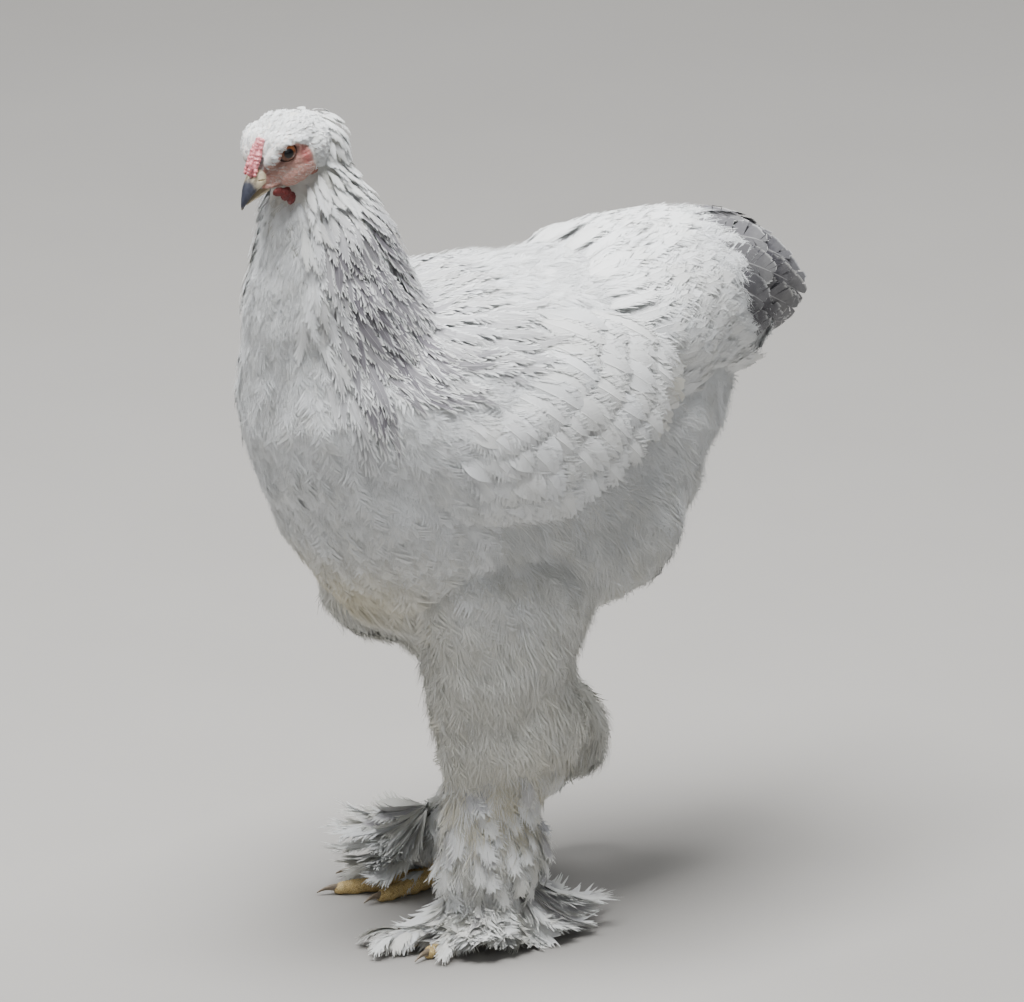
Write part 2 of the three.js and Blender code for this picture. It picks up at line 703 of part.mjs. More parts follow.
function shankSolid({ shank, fan, foot, side, turn }) {
  const height = heightOver(columnMeasure(shank, SHANK_SLIM));
  const rowAt = profile(shank);
  const fallen = SHANK_TIERS.flatMap(([z, count], tier) =>
    range(count).map((i) => {
      const [x, y, wide, long] = rowAt(z);
      const angle = (2 * Math.PI * (i + (tier % 2) / 2)) / count;
      const root = vec(x + wide * Math.sin(angle), y + long * Math.cos(angle), z);
      const lift = (share) => (share === 0 ? -SUNK : lerp(1, 8, share));
      const half = (0.4 * Math.PI * (wide + long + 2 * SHANK_SLIM)) / count;
      return laidFeather(height, root, vec(0, 0, -1), varied(SHANK_LENGTH, 0.08), half, lift, TUFT);
    }),
  );
  const spread = fan.map(([degrees, reach, tipUp, half]) => {
    const angle = degToRad(side * (degrees + side * turn));
    const way = vec(Math.sin(angle), -Math.cos(angle), 0);
    const spine = ROUND.at.map((share) => {
      const out = FAN_ROOT.out + (reach - FAN_ROOT.out) * share;
      const up = lerp(FAN_ROOT.up, tipUp, Math.sin((share * Math.PI) / 2));
      return vec(foot[0], foot[1], up).addScaledVector(way, out);
    });
    const looks = ROUND.at.map((share) => way.clone().multiplyScalar(0.5 * (1 - share)).add(vec(0, 0, 1)));
    return feather(spine, looks, ROUND.wide.map((width) => width * half));
  });
  return union([columnSolid(shank, SHANK_SLIM, 6, 12), ...fallen, ...spread]).trimByPlane([0, 0, 1], 1);
}

// A round limb through stations, each with its radius
function limb(stations, sides) {
  const rings = stations.map(({ at, radius }, i) => {
    const before = stations[Math.max(0, i - 1)].at;
    const after = stations[Math.min(stations.length - 1, i + 1)].at;
    const along = after.clone().sub(before).normalize();
    const side = vec(1, 0, 0);
    const up = along.clone().cross(side).normalize();
    const spot = (across, over) => at.clone().addScaledVector(side, across).addScaledVector(up, over);
    return ring(sides, (s, c) => spot(radius * c, radius * s));
  });
  return loft(rings);
}

// The ball of the foot, which stands on the floor
const padSolid = (grow = 0) =>
  ball(vec(0, 2, 11), vec(PAD_R + grow, PAD_R + grow, 14 + grow), 12).trimByPlane([0, 0, 1], -grow);

// Toes: degrees turned from straight ahead towards the outside, and length
const TOES = {
  inner: { turn: -24, length: 50 },
  middle: { turn: 0, length: 70 },
  outer: { turn: 27, length: 58 },
  hind: { turn: 168, length: 27 },
};
const toeUp = (share) => lerp(8, TOE_END_R - 0.6, Math.sqrt(share));

function toeSolid(length, grow = 0) {
  const stations = range(6).map((i) => {
    const share = i / 5;
    const knuckle = 0.55 * Math.cos(share * Math.PI * 5);
    const radius = grow + lerp(TOE_R, TOE_END_R, share) + knuckle * (1 - share * 0.6);
    return { at: vec(0, -lerp(TOE_START, length + 1, share), toeUp(share)), radius };
  });
  return limb(stations, 6).trimByPlane([0, 1, 0], -length);
}

// Feathers along a toe, which leave its back to either side and end close to the floor
function toeFeathers(length, side, [count, first, last]) {
  return range(count).map((i) => {
    const from = length * lerp(first, last - 0.42, i / Math.max(1, count - 1));
    const lean = side * (i % 2 ? -1 : 1);
    const spine = TUFT.at.map((share) => {
      const y = -from - 30 * share;
      const up = [toeUp(from / length) + TOE_R - SUNK, 12.5, 8, 3.4][TUFT.at.indexOf(share)];
      return vec(lean * lerp(2, 13, share ** 0.8), y, up);
    });
    const looks = TUFT.at.map((share) => vec(lean * lerp(0.3, 0.6, share), -0.2, 1).normalize());
    return feather(spine, looks, TUFT.wide.map((width) => width * 5.6));
  });
}

function clawSolid(length, grow = 0) {
  const stations = range(4).map((i) => {
    const share = i / 3;
    const y = -(length - 1 + (CLAW_LENGTH + 1 + grow) * share);
    const z = TOE_END_R - 0.2 + 1.6 * Math.sin(share * Math.PI * 0.75) - 3.2 * share * share;
    return { at: vec(0, y, z), radius: grow + lerp(3.1, 0.45, share ** 0.8) };
  });
  return limb(stations, 6).trimByPlane([0, -1, 0], length + GAP - grow);
}

const torsoGrown = torsoSolid(CURVED_GAP);
const wings = Object.fromEntries(
  Object.entries(SIDES).map(([name, side]) => [name, largest(wingSolid(side).subtract(torsoGrown))]),
);
const neck = underCut(union([neckSolid(), ...hackle()])).subtract(torsoGrown);
bird.add(part("torso", torsoSolid(), COLOURS.white));
bird.add(part("neck", Object.values(wings).reduce((kept, wing) => clearOf(kept, wing), neck), COLOURS.white));
bird.add(part("tail", tailSolid().subtract(torsoGrown), COLOURS.grey));

for (const [name, leg] of Object.entries(LEGS)) {
  bird.add(part(`wing_${name}`, wings[name], COLOURS.white));
  const thigh = columnSolid(leg.thigh).subtract(torsoGrown);
  bird.add(part(`thigh_${name}`, thigh, COLOURS.white));

  const foot = new THREE.Group();
  foot.position.set(...leg.foot, 0);
  foot.rotation.z = degToRad(leg.side * leg.turn);
  foot.updateMatrix();
  bird.add(foot);
  foot.add(part(`foot_${name}`, padSolid(), COLOURS.toe, 0.6));
  const held = Object.entries(TOES).map(([toe, { turn, length }]) => {
    const group = new THREE.Group();
    group.rotation.z = degToRad(leg.side * turn);
    group.updateMatrix();
    foot.add(group);
    return { toe, length, group };
  });
  // Everything at the foot in the foot's own frame, which each toe is then cut clear of
  const inFoot = ({ group }, piece) => piece.transform(group.matrix.elements);
  const claws = held.map((one) => inFoot(one, aboveFloor(clawSolid(one.length, CURVED_GAP))));
  const cores = held.map((one) => inFoot(one, toeSolid(one.length, CURVED_GAP)));
  const made = [];
  held.forEach((one, i) => {
    const feathers = leg.toeFeathers[one.toe];
    const plumes = feathers ? toeFeathers(one.length, leg.side, feathers) : [];
    // A toe's feathers keep off the other toes, and the toe itself is cut by the toes made before it.
    const whole = inFoot(one, toeSolid(one.length));
    const bare = cores.slice(0, i).reduce((kept, core) => kept.subtract(core), whole);
    const dressed = cores.reduce(
      (kept, core, k) => (k === i ? kept : kept.subtract(core)),
      plumes.length ? inFoot(one, union(plumes)) : bare,
    );
    const cut = claws.reduce((kept, claw) => kept.subtract(claw), union([bare, dressed]));
    const parted = made.reduce(
      (kept, other) => clearOf(kept, other),
      largest(aboveFloor(cut).subtract(padSolid(CURVED_GAP))),
    );
    made.push(largest(parted));
    const back = one.group.matrix.clone().invert().elements;
    one.group.add(part(`toe_${one.toe}_${name}`, parted.transform(back), COLOURS.toe, 0.6));
    one.group.add(part(`claw_${one.toe}_${name}`, aboveFloor(clawSolid(one.length)), COLOURS.claw, 0.4));
  });
  const toesInPlace = made.map((toe) => toe.transform(foot.matrix.elements));
  const shank = toesInPlace.reduce(
    (kept, toe) => clearOf(kept, toe),
    shankSolid(leg)
      .subtract(columnSolid(leg.thigh, CURVED_GAP))
      .subtract(padSolid(CURVED_GAP).transform(foot.matrix.elements)),
  );
  const clawsInPlace = claws.map((claw) => claw.transform(foot.matrix.elements));
  const clearShank = clawsInPlace.reduce((kept, claw) => kept.subtract(claw), shank);
  bird.add(part(`shank_${name}`, clearShank, COLOURS.white));
}

// The origin is under the middle of the whole bird.
const box = new THREE.Box3().setFromObject(bird, true);
const middle = box.getCenter(vec(0, 0, 0));
bird.position.set(-middle.x, -middle.y, -box.min.z);

export default bird;
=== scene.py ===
import math
import bpy
import numpy as np
from mathutils import Matrix, Vector
from mathutils.bvhtree import BVHTree


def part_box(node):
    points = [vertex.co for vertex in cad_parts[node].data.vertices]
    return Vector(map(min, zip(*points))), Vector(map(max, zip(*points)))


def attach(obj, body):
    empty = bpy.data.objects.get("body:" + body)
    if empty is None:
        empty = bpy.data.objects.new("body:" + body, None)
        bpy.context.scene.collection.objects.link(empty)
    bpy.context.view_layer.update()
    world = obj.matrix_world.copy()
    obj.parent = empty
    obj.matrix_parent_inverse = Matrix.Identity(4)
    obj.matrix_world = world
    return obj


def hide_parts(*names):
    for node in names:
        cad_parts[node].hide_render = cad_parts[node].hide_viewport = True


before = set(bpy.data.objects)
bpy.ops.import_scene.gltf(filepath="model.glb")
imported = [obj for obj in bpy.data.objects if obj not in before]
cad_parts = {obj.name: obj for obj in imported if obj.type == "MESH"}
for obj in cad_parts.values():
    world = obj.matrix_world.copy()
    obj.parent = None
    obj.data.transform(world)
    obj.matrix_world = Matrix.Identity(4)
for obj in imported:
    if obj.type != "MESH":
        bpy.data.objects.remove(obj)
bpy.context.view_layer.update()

# Camera, floor and light
# The bird is seen from its front left and a little from above, through a long lens, on a plain
# pale floor and in the soft light of a white studio. Body places are in millimetres, with the beak
# towards -Y and the bird's left towards +X, and in_frame() turns them into the frame's metres.
MM = 0.001
TORSO_FRONT = -162.0
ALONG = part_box("torso")[0].y / MM - TORSO_FRONT
VIEW_AZIMUTH, VIEW_ELEVATION = math.radians(55), math.radians(20)
PIXELS_PER_MM = 1.56
PICTURE = (1024, 1002)
BODY_ORIGIN_PIXEL = (463, 913)      # where the body's own origin falls in the photograph
CAMERA_DISTANCE, SENSOR = 20000.0, 36
BODY_DEPTH = 150.0                  # how far before the body's origin the camera aims


def in_frame(points):
    return (np.asarray(points, float) + (0, ALONG, 0)) * MM


view_back = np.array([
    math.sin(VIEW_AZIMUTH) * math.cos(VIEW_ELEVATION),
    -math.cos(VIEW_AZIMUTH) * math.cos(VIEW_ELEVATION),
    math.sin(VIEW_ELEVATION),
])
view_right = np.array([math.cos(VIEW_AZIMUTH), math.sin(VIEW_AZIMUTH), 0])
view_up = np.cross(view_back, view_right)
aim = (
    view_right * (PICTURE[0] / 2 - BODY_ORIGIN_PIXEL[0]) / PIXELS_PER_MM
    + view_up * (BODY_ORIGIN_PIXEL[1] - PICTURE[1] / 2) / PIXELS_PER_MM
    + view_back * BODY_DEPTH
)
bpy.ops.object.camera_add(location=in_frame(aim + view_back * CAMERA_DISTANCE))
camera = bpy.context.object
camera.rotation_euler = Vector(-view_back).to_track_quat("-Z", "Y").to_euler()
camera.data.sensor_width = SENSOR
camera.data.lens = PIXELS_PER_MM * SENSOR * CAMERA_DISTANCE / PICTURE[0]
camera.data.clip_end = 60
bpy.context.scene.camera = camera


class Value:
    """A socket of a finish, with arithmetic."""

    def __init__(self, finish, socket):
        self.finish, self.socket = finish, socket

    def __add__(self, other):
        return self.finish.maths("ADD", self, other)

    def __sub__(self, other):
        return self.finish.maths("SUBTRACT", self, other)

    def __rsub__(self, other):
        return self.finish.maths("SUBTRACT", other, self)

    def __mul__(self, other):
        return self.finish.maths("MULTIPLY", self, other)

    __radd__ = __add__
    __rmul__ = __mul__


class Finish:
    """A material built from nodes. Settings are set before values and links."""

    def __init__(self, name, **constants):
        self.material = bpy.data.materials.new(name)
        self.material.use_nodes = True
        self.tree = self.material.node_tree
        self.shader = self.tree.nodes["Principled BSDF"]
        for socket, value in constants.items():
            self.shader.inputs[socket.replace("_", " ")].default_value = value

    def join(self, value, socket):
        if isinstance(value, Value):
            self.tree.links.new(value.socket, socket)
        else:
            socket.default_value = value

    def node(self, kind, settings=(), values=(), output=0):
        made = self.tree.nodes.new(kind)
        for name, setting in dict(settings).items():
            setattr(made, name, setting)
        for name, value in dict(values).items():
            self.join(value, made.inputs[name])
        return Value(self, made.outputs[output])

    def maths(self, operation, first, second=0.0, clamp=False):
        settings = {"operation": operation, "use_clamp": clamp}
        return self.node("ShaderNodeMath", settings, {0: first, 1: second})

    def clamped(self, value):
        return self.maths("ADD", value, 0.0, clamp=True)

    def soft_step(self, value, low, high):
        settings = {"interpolation_type": "SMOOTHSTEP"}
        values = {"Value": value, "From Min": low, "From Max": high, "To Min": 0.0, "To Max": 1.0}
        return self.node("ShaderNodeMapRange", settings, values)

    def mix(self, share, first, second):
        colours = [c if isinstance(c, Value) else (*c, 1) for c in (first, second)]
        values = {0: share, 6: colours[0], 7: colours[1]}
        return self.node("ShaderNodeMix", {"data_type": "RGBA"}, values, 2)

    def place(self):
        return self.node("ShaderNodeTexCoord", output=3)

    def distance_to(self, point):
        settings, values = {"operation": "DISTANCE"}, {0: self.place(), 1: tuple(point)}
        return self.node("ShaderNodeVectorMath", settings, values, 1)

    def noise(self, scale, detail):
        values = {"Vector": self.place(), "Scale": scale, "Detail": detail}
        return self.node("ShaderNodeTexNoise", values=values)

    def attribute(self, name):
        return self.node("ShaderNodeAttribute", {"attribute_name": name}, output=2)

    def vane_place(self):
        """Place across a feather, 0 at the shaft and 1 at the edge, and along it, from its own map."""
        spot = self.node("ShaderNodeUVMap", {"uv_map": "vane"})
        apart = self.tree.nodes.new("ShaderNodeSeparateXYZ")
        self.tree.links.new(spot.socket, apart.inputs[0])
        across, along = [Value(self, apart.outputs[i]) for i in (0, 1)]
        return self.maths("ABSOLUTE", across * 2 - 1), along

    def bump(self, height, distance, strength=1.0):
        values = {"Height": height, "Distance": distance, "Strength": strength}
        return self.node("ShaderNodeBump", values=values)

    def finished(self, **links):
        for name, value in links.items():
            self.join(value, self.shader.inputs[name.replace("_", " ")])
        return self.material


bpy.ops.mesh.primitive_plane_add(size=60, location=(0, 0, 0))
floor = bpy.context.object
floor.name = "studio_floor"
bpy.ops.object.transform_apply(location=True, rotation=True, scale=True)
floor_finish = Finish("studio_paper", Roughness=0.9)
grain = floor_finish.noise(6.0, 4.0)
paper = floor_finish.mix(grain, (0.30, 0.29, 0.275), (0.33, 0.32, 0.305))
floor.data.materials.append(floor_finish.finished(Base_Color=paper))

LIGHTS = [
    # name, way to the light as (azimuth, elevation), distance, size, watts
    ("overhead", 10, 80, 2.3, 1.2, 175),
    ("window", 310, 46, 2.8, 1.2, 30),
    ("fill", 70, 20, 3.2, 2.2, 9),
    ("behind", 190, 50, 2.8, 1.4, 30),
]
for name, azimuth, elevation, distance, size, watts in LIGHTS:
    a, e = math.radians(azimuth), math.radians(elevation)
    way = Vector((math.sin(a) * math.cos(e), -math.cos(a) * math.cos(e), math.sin(e)))
    bpy.ops.object.light_add(type="AREA", location=Vector((0, 0, 0.3)) + way * distance)
    light = bpy.context.object
    light.name = name
    light.rotation_euler = (-way).to_track_quat("-Z", "Y").to_euler()
    light.data.size, light.data.energy = size, watts
world = bpy.data.worlds.new("studio_white")
bpy.context.scene.world = world
world.use_nodes = True
world.node_tree.nodes["Background"].inputs["Color"].default_value = (0.86, 0.90, 0.95, 1)
world.node_tree.nodes["Background"].inputs["Strength"].default_value = 0.22

# Skin
# One skin lies under the whole coat, from the face to the hocks. It is lofted from the body's own
# measures less the coat's depth, joined, remeshed and smoothed, and stands for the flesh nodes.
TORSO_COAT, NECK_COAT, LEG_COAT, SKULL_COAT = 6.5, 5.0, 8.0, 7.0

# Along, top, bottom, half width, height of the widest line
TORSO = np.array([
    (-162, 372, 366, 3, 369), (-158, 396, 344, 28, 370), (-148, 416, 314, 50, 370), (-132, 430, 282, 67, 366),
    (-108, 438, 240, 80, 356), (-75, 443, 208, 88, 345), (-35, 446, 190, 91, 335), (5, 445, 182, 92, 325),
    (45, 443, 183, 92, 318), (85, 443, 192, 88, 318), (115, 445, 208, 82, 322), (138, 445, 232, 74, 328),
    (155, 437, 258, 66, 332), (172, 418, 280, 56, 336), (188, 392, 298, 45, 340), (201, 368, 316, 29, 341),
    (208, 350, 332, 3, 341),
], float)
# Height, middle across and along, half width, half depth
NECK = np.array([
    (320, 0, -62, 78, 80), (370, 0, -76, 80, 84), (403, 0, -88, 70, 73), (440, 0, -101, 58, 61),
    (468, 1, -107, 50, 53), (506, 2, -115, 35, 40), (530, 3, -120, 23, 28), (552, 3, -124, 12, 12),
], float)
LEFT_LEG = np.array([
    (40, 49, -13, 33, 46), (55, 50, -11, 30, 46), (75, 48, -15, 28, 42), (91, 48, -12, 28, 38),
    (105, 48, 2, 31, 48), (120, 49, 1, 34, 56), (138, 49, 3, 36, 57), (158, 50, -4, 38, 57),
    (184, 51, -8, 41, 60), (215, 52, -4, 42, 66), (250, 50, 0, 36, 62),
], float)
RIGHT_LEG = np.array([
    (56, -46, 130, 6, 8), (65, -46, 122, 20, 28), (91, -46, 110, 26, 40), (112, -47, 92, 30, 43),
    (134, -48, 72, 33, 46), (167, -50, 42, 38, 55), (215, -51, 20, 42, 66), (250, -50, 16, 36, 62),
], float)
RIGHT_SHANK = np.array([
    (22, -50, 18, 30, 34), (35, -50, 27, 31, 35), (55, -48, 45, 29, 35), (75, -46, 62, 27, 34),
    (95, -46, 76, 25, 32), (118, -46, 88, 22, 28),
], float)
LEFT_SHANK = np.array([(18, 49, -17, 30, 38), (40, 50, -13, 31, 44), (60, 49, -12, 29, 44)], float)
# The head's own frame has its origin in the middle of the skull, its beak towards -Y.
HEAD_AT, HEAD_NOD, HEAD_TURN = (1, -137, 552), math.radians(20), math.radians(14)
head_turn = np.array((Matrix.Rotation(HEAD_TURN, 3, "Z") @ Matrix.Rotation(HEAD_NOD, 3, "X")))
# Along, middle height, half width, height over and under the middle
SKULL = np.array([
    (-37, -5, 7, 5, 8), (-31, -4, 12, 11, 12), (-25, -2, 17.5, 17, 17), (-16, 0, 22.5, 20.5, 21),
    (-5, 0, 25.5, 22.5, 24), (8, 0, 26, 23, 26), (20, -1, 20.5, 21, 25), (28, -2, 13, 15, 18),
    (32, -3, 3, 4, 4),
], float)
WING_MIDDLE, WING_BULGE = (4.0, 364.0), 17.0
# The folded wing's rim: along, height, and how steep its edge is there
WING_EDGE = np.array([
    (-106, 397, 2), (-60, 416, 2), (11, 431, 3), (66, 420, 7), (92, 396, 9), (104, 374, 10), (86, 348, 10),
    (58, 326, 10), (24, 308, 10), (-12, 297, 10), (-60, 306, 4), (-92, 345, 2),
], float)
# The cushion over the root of the tail: along, top, bottom, half width
CUSHION = np.array([
    (60, 440, 300, 80), (96, 444, 300, 84), (120, 447, 304, 79), (145, 449, 310, 68), (165, 449, 318, 58),
    (190, 445, 325, 51), (215, 436, 328, 47), (240, 420, 332, 42),
], float)
SKIN_VOXEL = 2.7


def row_at(rows, key):
    """The columns of a table at a key, one array for each."""
    return [np.interp(key, rows[:, 0], rows[:, i]) for i in range(1, rows.shape[1])]


def from_head(points):
    return np.asarray(points, float) @ head_turn.T + HEAD_AT


def to_head(points):
    return (np.asarray(points, float) - HEAD_AT) @ head_turn


def flank(y, z):
    """How far the body's side is from the middle plane."""
    top, bottom, half, wide = row_at(TORSO, y)
    tall = np.where(z > wide, top - wide, wide - bottom)
    return half * np.clip(1 - np.abs((z - wide) / tall) ** 2.2, 0.0, 1) ** (1 / 2.2)


def piece_from(name, points, faces, finish=None):
    """A new piece from places in the body's millimetres."""
    mesh = bpy.data.meshes.new(name)
    faces = faces.tolist() if isinstance(faces, np.ndarray) else faces
    mesh.from_pydata(in_frame(points).tolist(), [], faces)
    mesh.update()
    piece = bpy.data.objects.new(name, mesh)
    bpy.context.scene.collection.objects.link(piece)
    if finish:
        mesh.materials.append(finish)
    return piece


def loft(name, rings):
    """A closed form through rings of points, all of one count."""
    rings = np.asarray(rings)
    count, sides = rings.shape[:2]
    points = np.concatenate([rings.reshape(-1, 3), rings[[0, -1]].mean(1)])
    faces = []
    for i in range(count - 1):
        for k in range(sides):
            a, b = i * sides + k, i * sides + (k + 1) % sides
            faces.append((a, b, b + sides, a + sides))
    for k in range(sides):
        faces.append((count * sides, (k + 1) % sides, k))
        last = (count - 1) * sides
        faces.append((count * sides + 1, last + k, last + (k + 1) % sides))
    return piece_from(name, points, faces)


def only(*pieces):
    """Selects these pieces and makes the first one active."""
    bpy.ops.object.select_all(action="DESELECT")
    for piece in pieces:
        piece.select_set(True)
    bpy.context.view_layer.objects.active = pieces[0]


def finish_with(piece, kind, **settings):
    """Adds a modifier to a piece and applies it."""
    only(piece)
    made = piece.modifiers.new(kind.lower(), kind)
    for name, value in settings.items():
        setattr(made, name, value)
    bpy.ops.object.modifier_apply(modifier=made.name)


SIDES = 48
around = np.linspace(0, 2 * math.pi, SIDES, endpoint=False)
sine, cosine = np.sin(around), np.cos(around)


def power(values, exponent):
    return np.sign(values) * np.abs(values) ** exponent


def torso_rings(coat):
    rings = []
    for y in TORSO_FRONT + (208 - TORSO_FRONT) * (1 - np.cos(np.linspace(0.04, math.pi - 0.04, 40))) / 2:
        top, bottom, half, wide = row_at(TORSO, y)
        tall = np.where(cosine > 0, top - wide, wide - bottom)
        shrink = y + coat * (1 if y < 20 else -1) * abs(y - 20) / 190
        rings.append(np.stack([
            max(half - coat, 1) * power(sine, 1 / 1.1), np.full(SIDES, shrink),
            wide + np.maximum(tall - coat, 1) * power(cosine, 1 / 1.1),
        ], -1))
    return rings


def column_rings(rows, coat, steps=24):
    rings = []
    for z in np.linspace(rows[0, 0], rows[-1, 0], steps):
        x, y, wide, long = row_at(rows, z)
        rings.append(np.stack([
            x + max(wide - coat, 2) * sine, y - max(long - coat, 2) * cosine, np.full(SIDES, z),
        ], -1))
    return rings


def skull_rings(coat, crown=0.0):
    """The skull less its coat, and less a little more over the crown."""
    rings = []
    for y in np.linspace(-36, 31.5, 28):
        middle, wide, over, under = row_at(SKULL, y)
        tall = np.where(cosine > 0, over - crown * min(1, over / 20), under)
        ring = np.stack([
            max(wide - coat, 1) * sine, np.full(SIDES, y * 0.97),
            middle + np.maximum(tall - coat, 1) * cosine,
        ], -1)
        rings.append(from_head(ring))
    return rings


def wing_rings(side):
    """The folded arm: a swelling on the flank, steep below and behind and flat at the shoulder."""
    from_middle = WING_EDGE[:, :2] - WING_MIDDLE
    turn = np.arctan2(from_middle[:, 1], from_middle[:, 0])
    order = np.argsort(turn)
    reach = np.interp(around, turn[order], np.hypot(*from_middle.T)[order], period=2 * math.pi)
    steep = np.interp(around, turn[order], WING_EDGE[order, 2], period=2 * math.pi)
    rings = []
    for share in (1.03, 1.0, 0.97, 0.92, 0.84, 0.72, 0.56, 0.36, 0.16, 0.03):
        y = WING_MIDDLE[0] + cosine * reach * share
        z = WING_MIDDLE[1] + sine * reach * share
        swell = WING_BULGE * np.clip(1 - share ** steep, 0, 1) ** 0.7 if share <= 1 else -14
        rings.append(np.stack([side * (flank(y, z) - TORSO_COAT - 1 + swell), y, z], -1))
    return rings if side > 0 else [ring[::-1] for ring in rings]


def cushion_rings(coat):
    rings = []
    for y in np.linspace(60, 222, 18):
        top, bottom, half = row_at(CUSHION, y)
        inner = coat + 9 * max(0, (y - 190) / 32)
        middle, tall = (top + bottom) / 2, (top - bottom) / 2
        rings.append(np.stack([
            (half - inner) * sine, np.full(SIDES, y), middle + (tall - inner) * cosine,
        ], -1))
    return rings


def lump(at, radii):
    """A soft swelling of the coat: its place and half sizes on the body."""
    bpy.ops.mesh.primitive_uv_sphere_add(segments=32, ring_count=20, radius=1)
    made = bpy.context.object
    made.matrix_world = Matrix.Translation(in_frame(at)) @ Matrix.Diagonal([r * MM for r in radii] + [1])
    bpy.ops.object.transform_apply(location=True, rotation=True, scale=True)
    return made


forms = [
    loft("torso_form", torso_rings(TORSO_COAT)),
    loft("neck_form", column_rings(NECK, NECK_COAT)),
    loft("left_leg_form", column_rings(LEFT_LEG, LEG_COAT)),
    loft("left_shank_form", column_rings(LEFT_SHANK, LEG_COAT + 4)),
    loft("right_leg_form", column_rings(RIGHT_LEG, LEG_COAT)),
    loft("right_shank_form", column_rings(RIGHT_SHANK, LEG_COAT + 4)),
    loft("left_wing_form", wing_rings(1)),
    loft("right_wing_form", wing_rings(-1)),
    loft("skull_form", skull_rings(SKULL_COAT)),
    loft("cushion_form", cushion_rings(6.0)),
]
for side in (1, -1):
    forms += [lump((side * 56, -4, 228), (30, 64, 54)), lump((side * 60, 66, 272), (26, 58, 54))]
forms += [lump((53, 2, 142), (31, 50, 34)), lump((0, 130, 300), (48, 44, 70))]
forms.append(lump(from_head((0, 20, -15)), (21, 19, 23)))
only(*forms)
bpy.ops.object.join()
skin = bpy.context.object
skin.name = skin.data.name = "skin"
finish_with(skin, "REMESH", mode="VOXEL", voxel_size=SKIN_VOXEL * MM)
finish_with(skin, "SMOOTH", iterations=4, factor=0.5)
for fold_size, fold_depth in ((0.05, 0.007), (0.022, 0.0045)):
    folds = bpy.data.textures.new("coat_folds", "CLOUDS")
    folds.noise_scale, folds.noise_depth = fold_size, 1
    finish_with(skin, "DISPLACE", texture=folds, strength=fold_depth, mid_level=0.5, texture_coords="LOCAL")
bpy.ops.object.shade_smooth()

skin_finish = Finish("skin_and_down", Roughness=0.85)
down = skin_finish.noise(240.0, 3.0)
skin_colour = skin_finish.mix(down, (0.50, 0.50, 0.47), (0.62, 0.62, 0.58))
skin.data.materials.append(
    skin_finish.finished(Base_Color=skin_colour, Normal=skin_finish.bump(down, 0.001))
)
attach(skin, "root")
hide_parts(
    "head", "neck", "torso", "wing_left", "wing_right",
    "thigh_left", "thigh_right", "shank_left", "shank_right",
)


class Ground:
    """A surface that feathers grow on, in the body's millimetres."""

    def __init__(self, piece):
        mesh = piece.data
        places, normals = np.zeros(len(mesh.vertices) * 3), np.zeros(len(mesh.vertices) * 3)
        mesh.vertices.foreach_get("co", places)
        mesh.vertex_normals.foreach_get("vector", normals)
        self.places = places.reshape(-1, 3) / MM - (0, ALONG, 0)
        self.normals = normals.reshape(-1, 3)
        mesh.calc_loop_triangles()
        triangles = np.zeros(len(mesh.loop_triangles) * 3, int)
        mesh.loop_triangles.foreach_get("vertices", triangles)
        self.triangles = triangles.reshape(-1, 3)
        self.tree = BVHTree.FromPolygons(self.places.tolist(), self.triangles.tolist())

    def nearest(self, points):
        places, faces = np.zeros_like(points), np.zeros(len(points), int)
        for i, point in enumerate(points):
            place, _, face, _ = self.tree.find_nearest(point)
            places[i], faces[i] = place, face
        normals = self.normals[self.triangles[faces]].mean(1)
        return places, normals / np.linalg.norm(normals, axis=1, keepdims=True)

    def scatter(self, seed, spacing, wanted):
        """Roots about a spacing apart, each where wanted(points) is true, in a seeded draw."""
        draw = np.random.default_rng(seed)
        corners = self.places[self.triangles]
        edges = corners[:, 1:] - corners[:, :1]
        area = np.linalg.norm(np.cross(edges[:, 0], edges[:, 1]), axis=1) / 2 * wanted(corners.mean(1))
        count = int(area.sum() / spacing ** 2 * 7)
        chosen = draw.choice(len(area), count, p=area / area.sum())
        a, b = draw.random((2, count, 1))
        over = (a + b) > 1
        a, b = np.where(over, 1 - a, a), np.where(over, 1 - b, b)
        c = corners[chosen]
        points = c[:, 0] + a * (c[:, 1] - c[:, 0]) + b * (c[:, 2] - c[:, 0])
        taken, kept = {}, []
        cells = np.floor(points / spacing).astype(int)
        steps = np.array([(i, j, k) for i in (-1, 0, 1) for j in (-1, 0, 1) for k in (-1, 0, 1)])
        for index, (cell, point) in enumerate(zip(cells, points)):
            near = [q for beside in (cell + steps).tolist() for q in taken.get(tuple(beside), ())]
            if all(((point - points[q]) ** 2).sum() > spacing ** 2 for q in near):
                taken.setdefault(tuple(cell.tolist()), []).append(index)
                kept.append(index)
        return points[kept]


ground = Ground(skin)

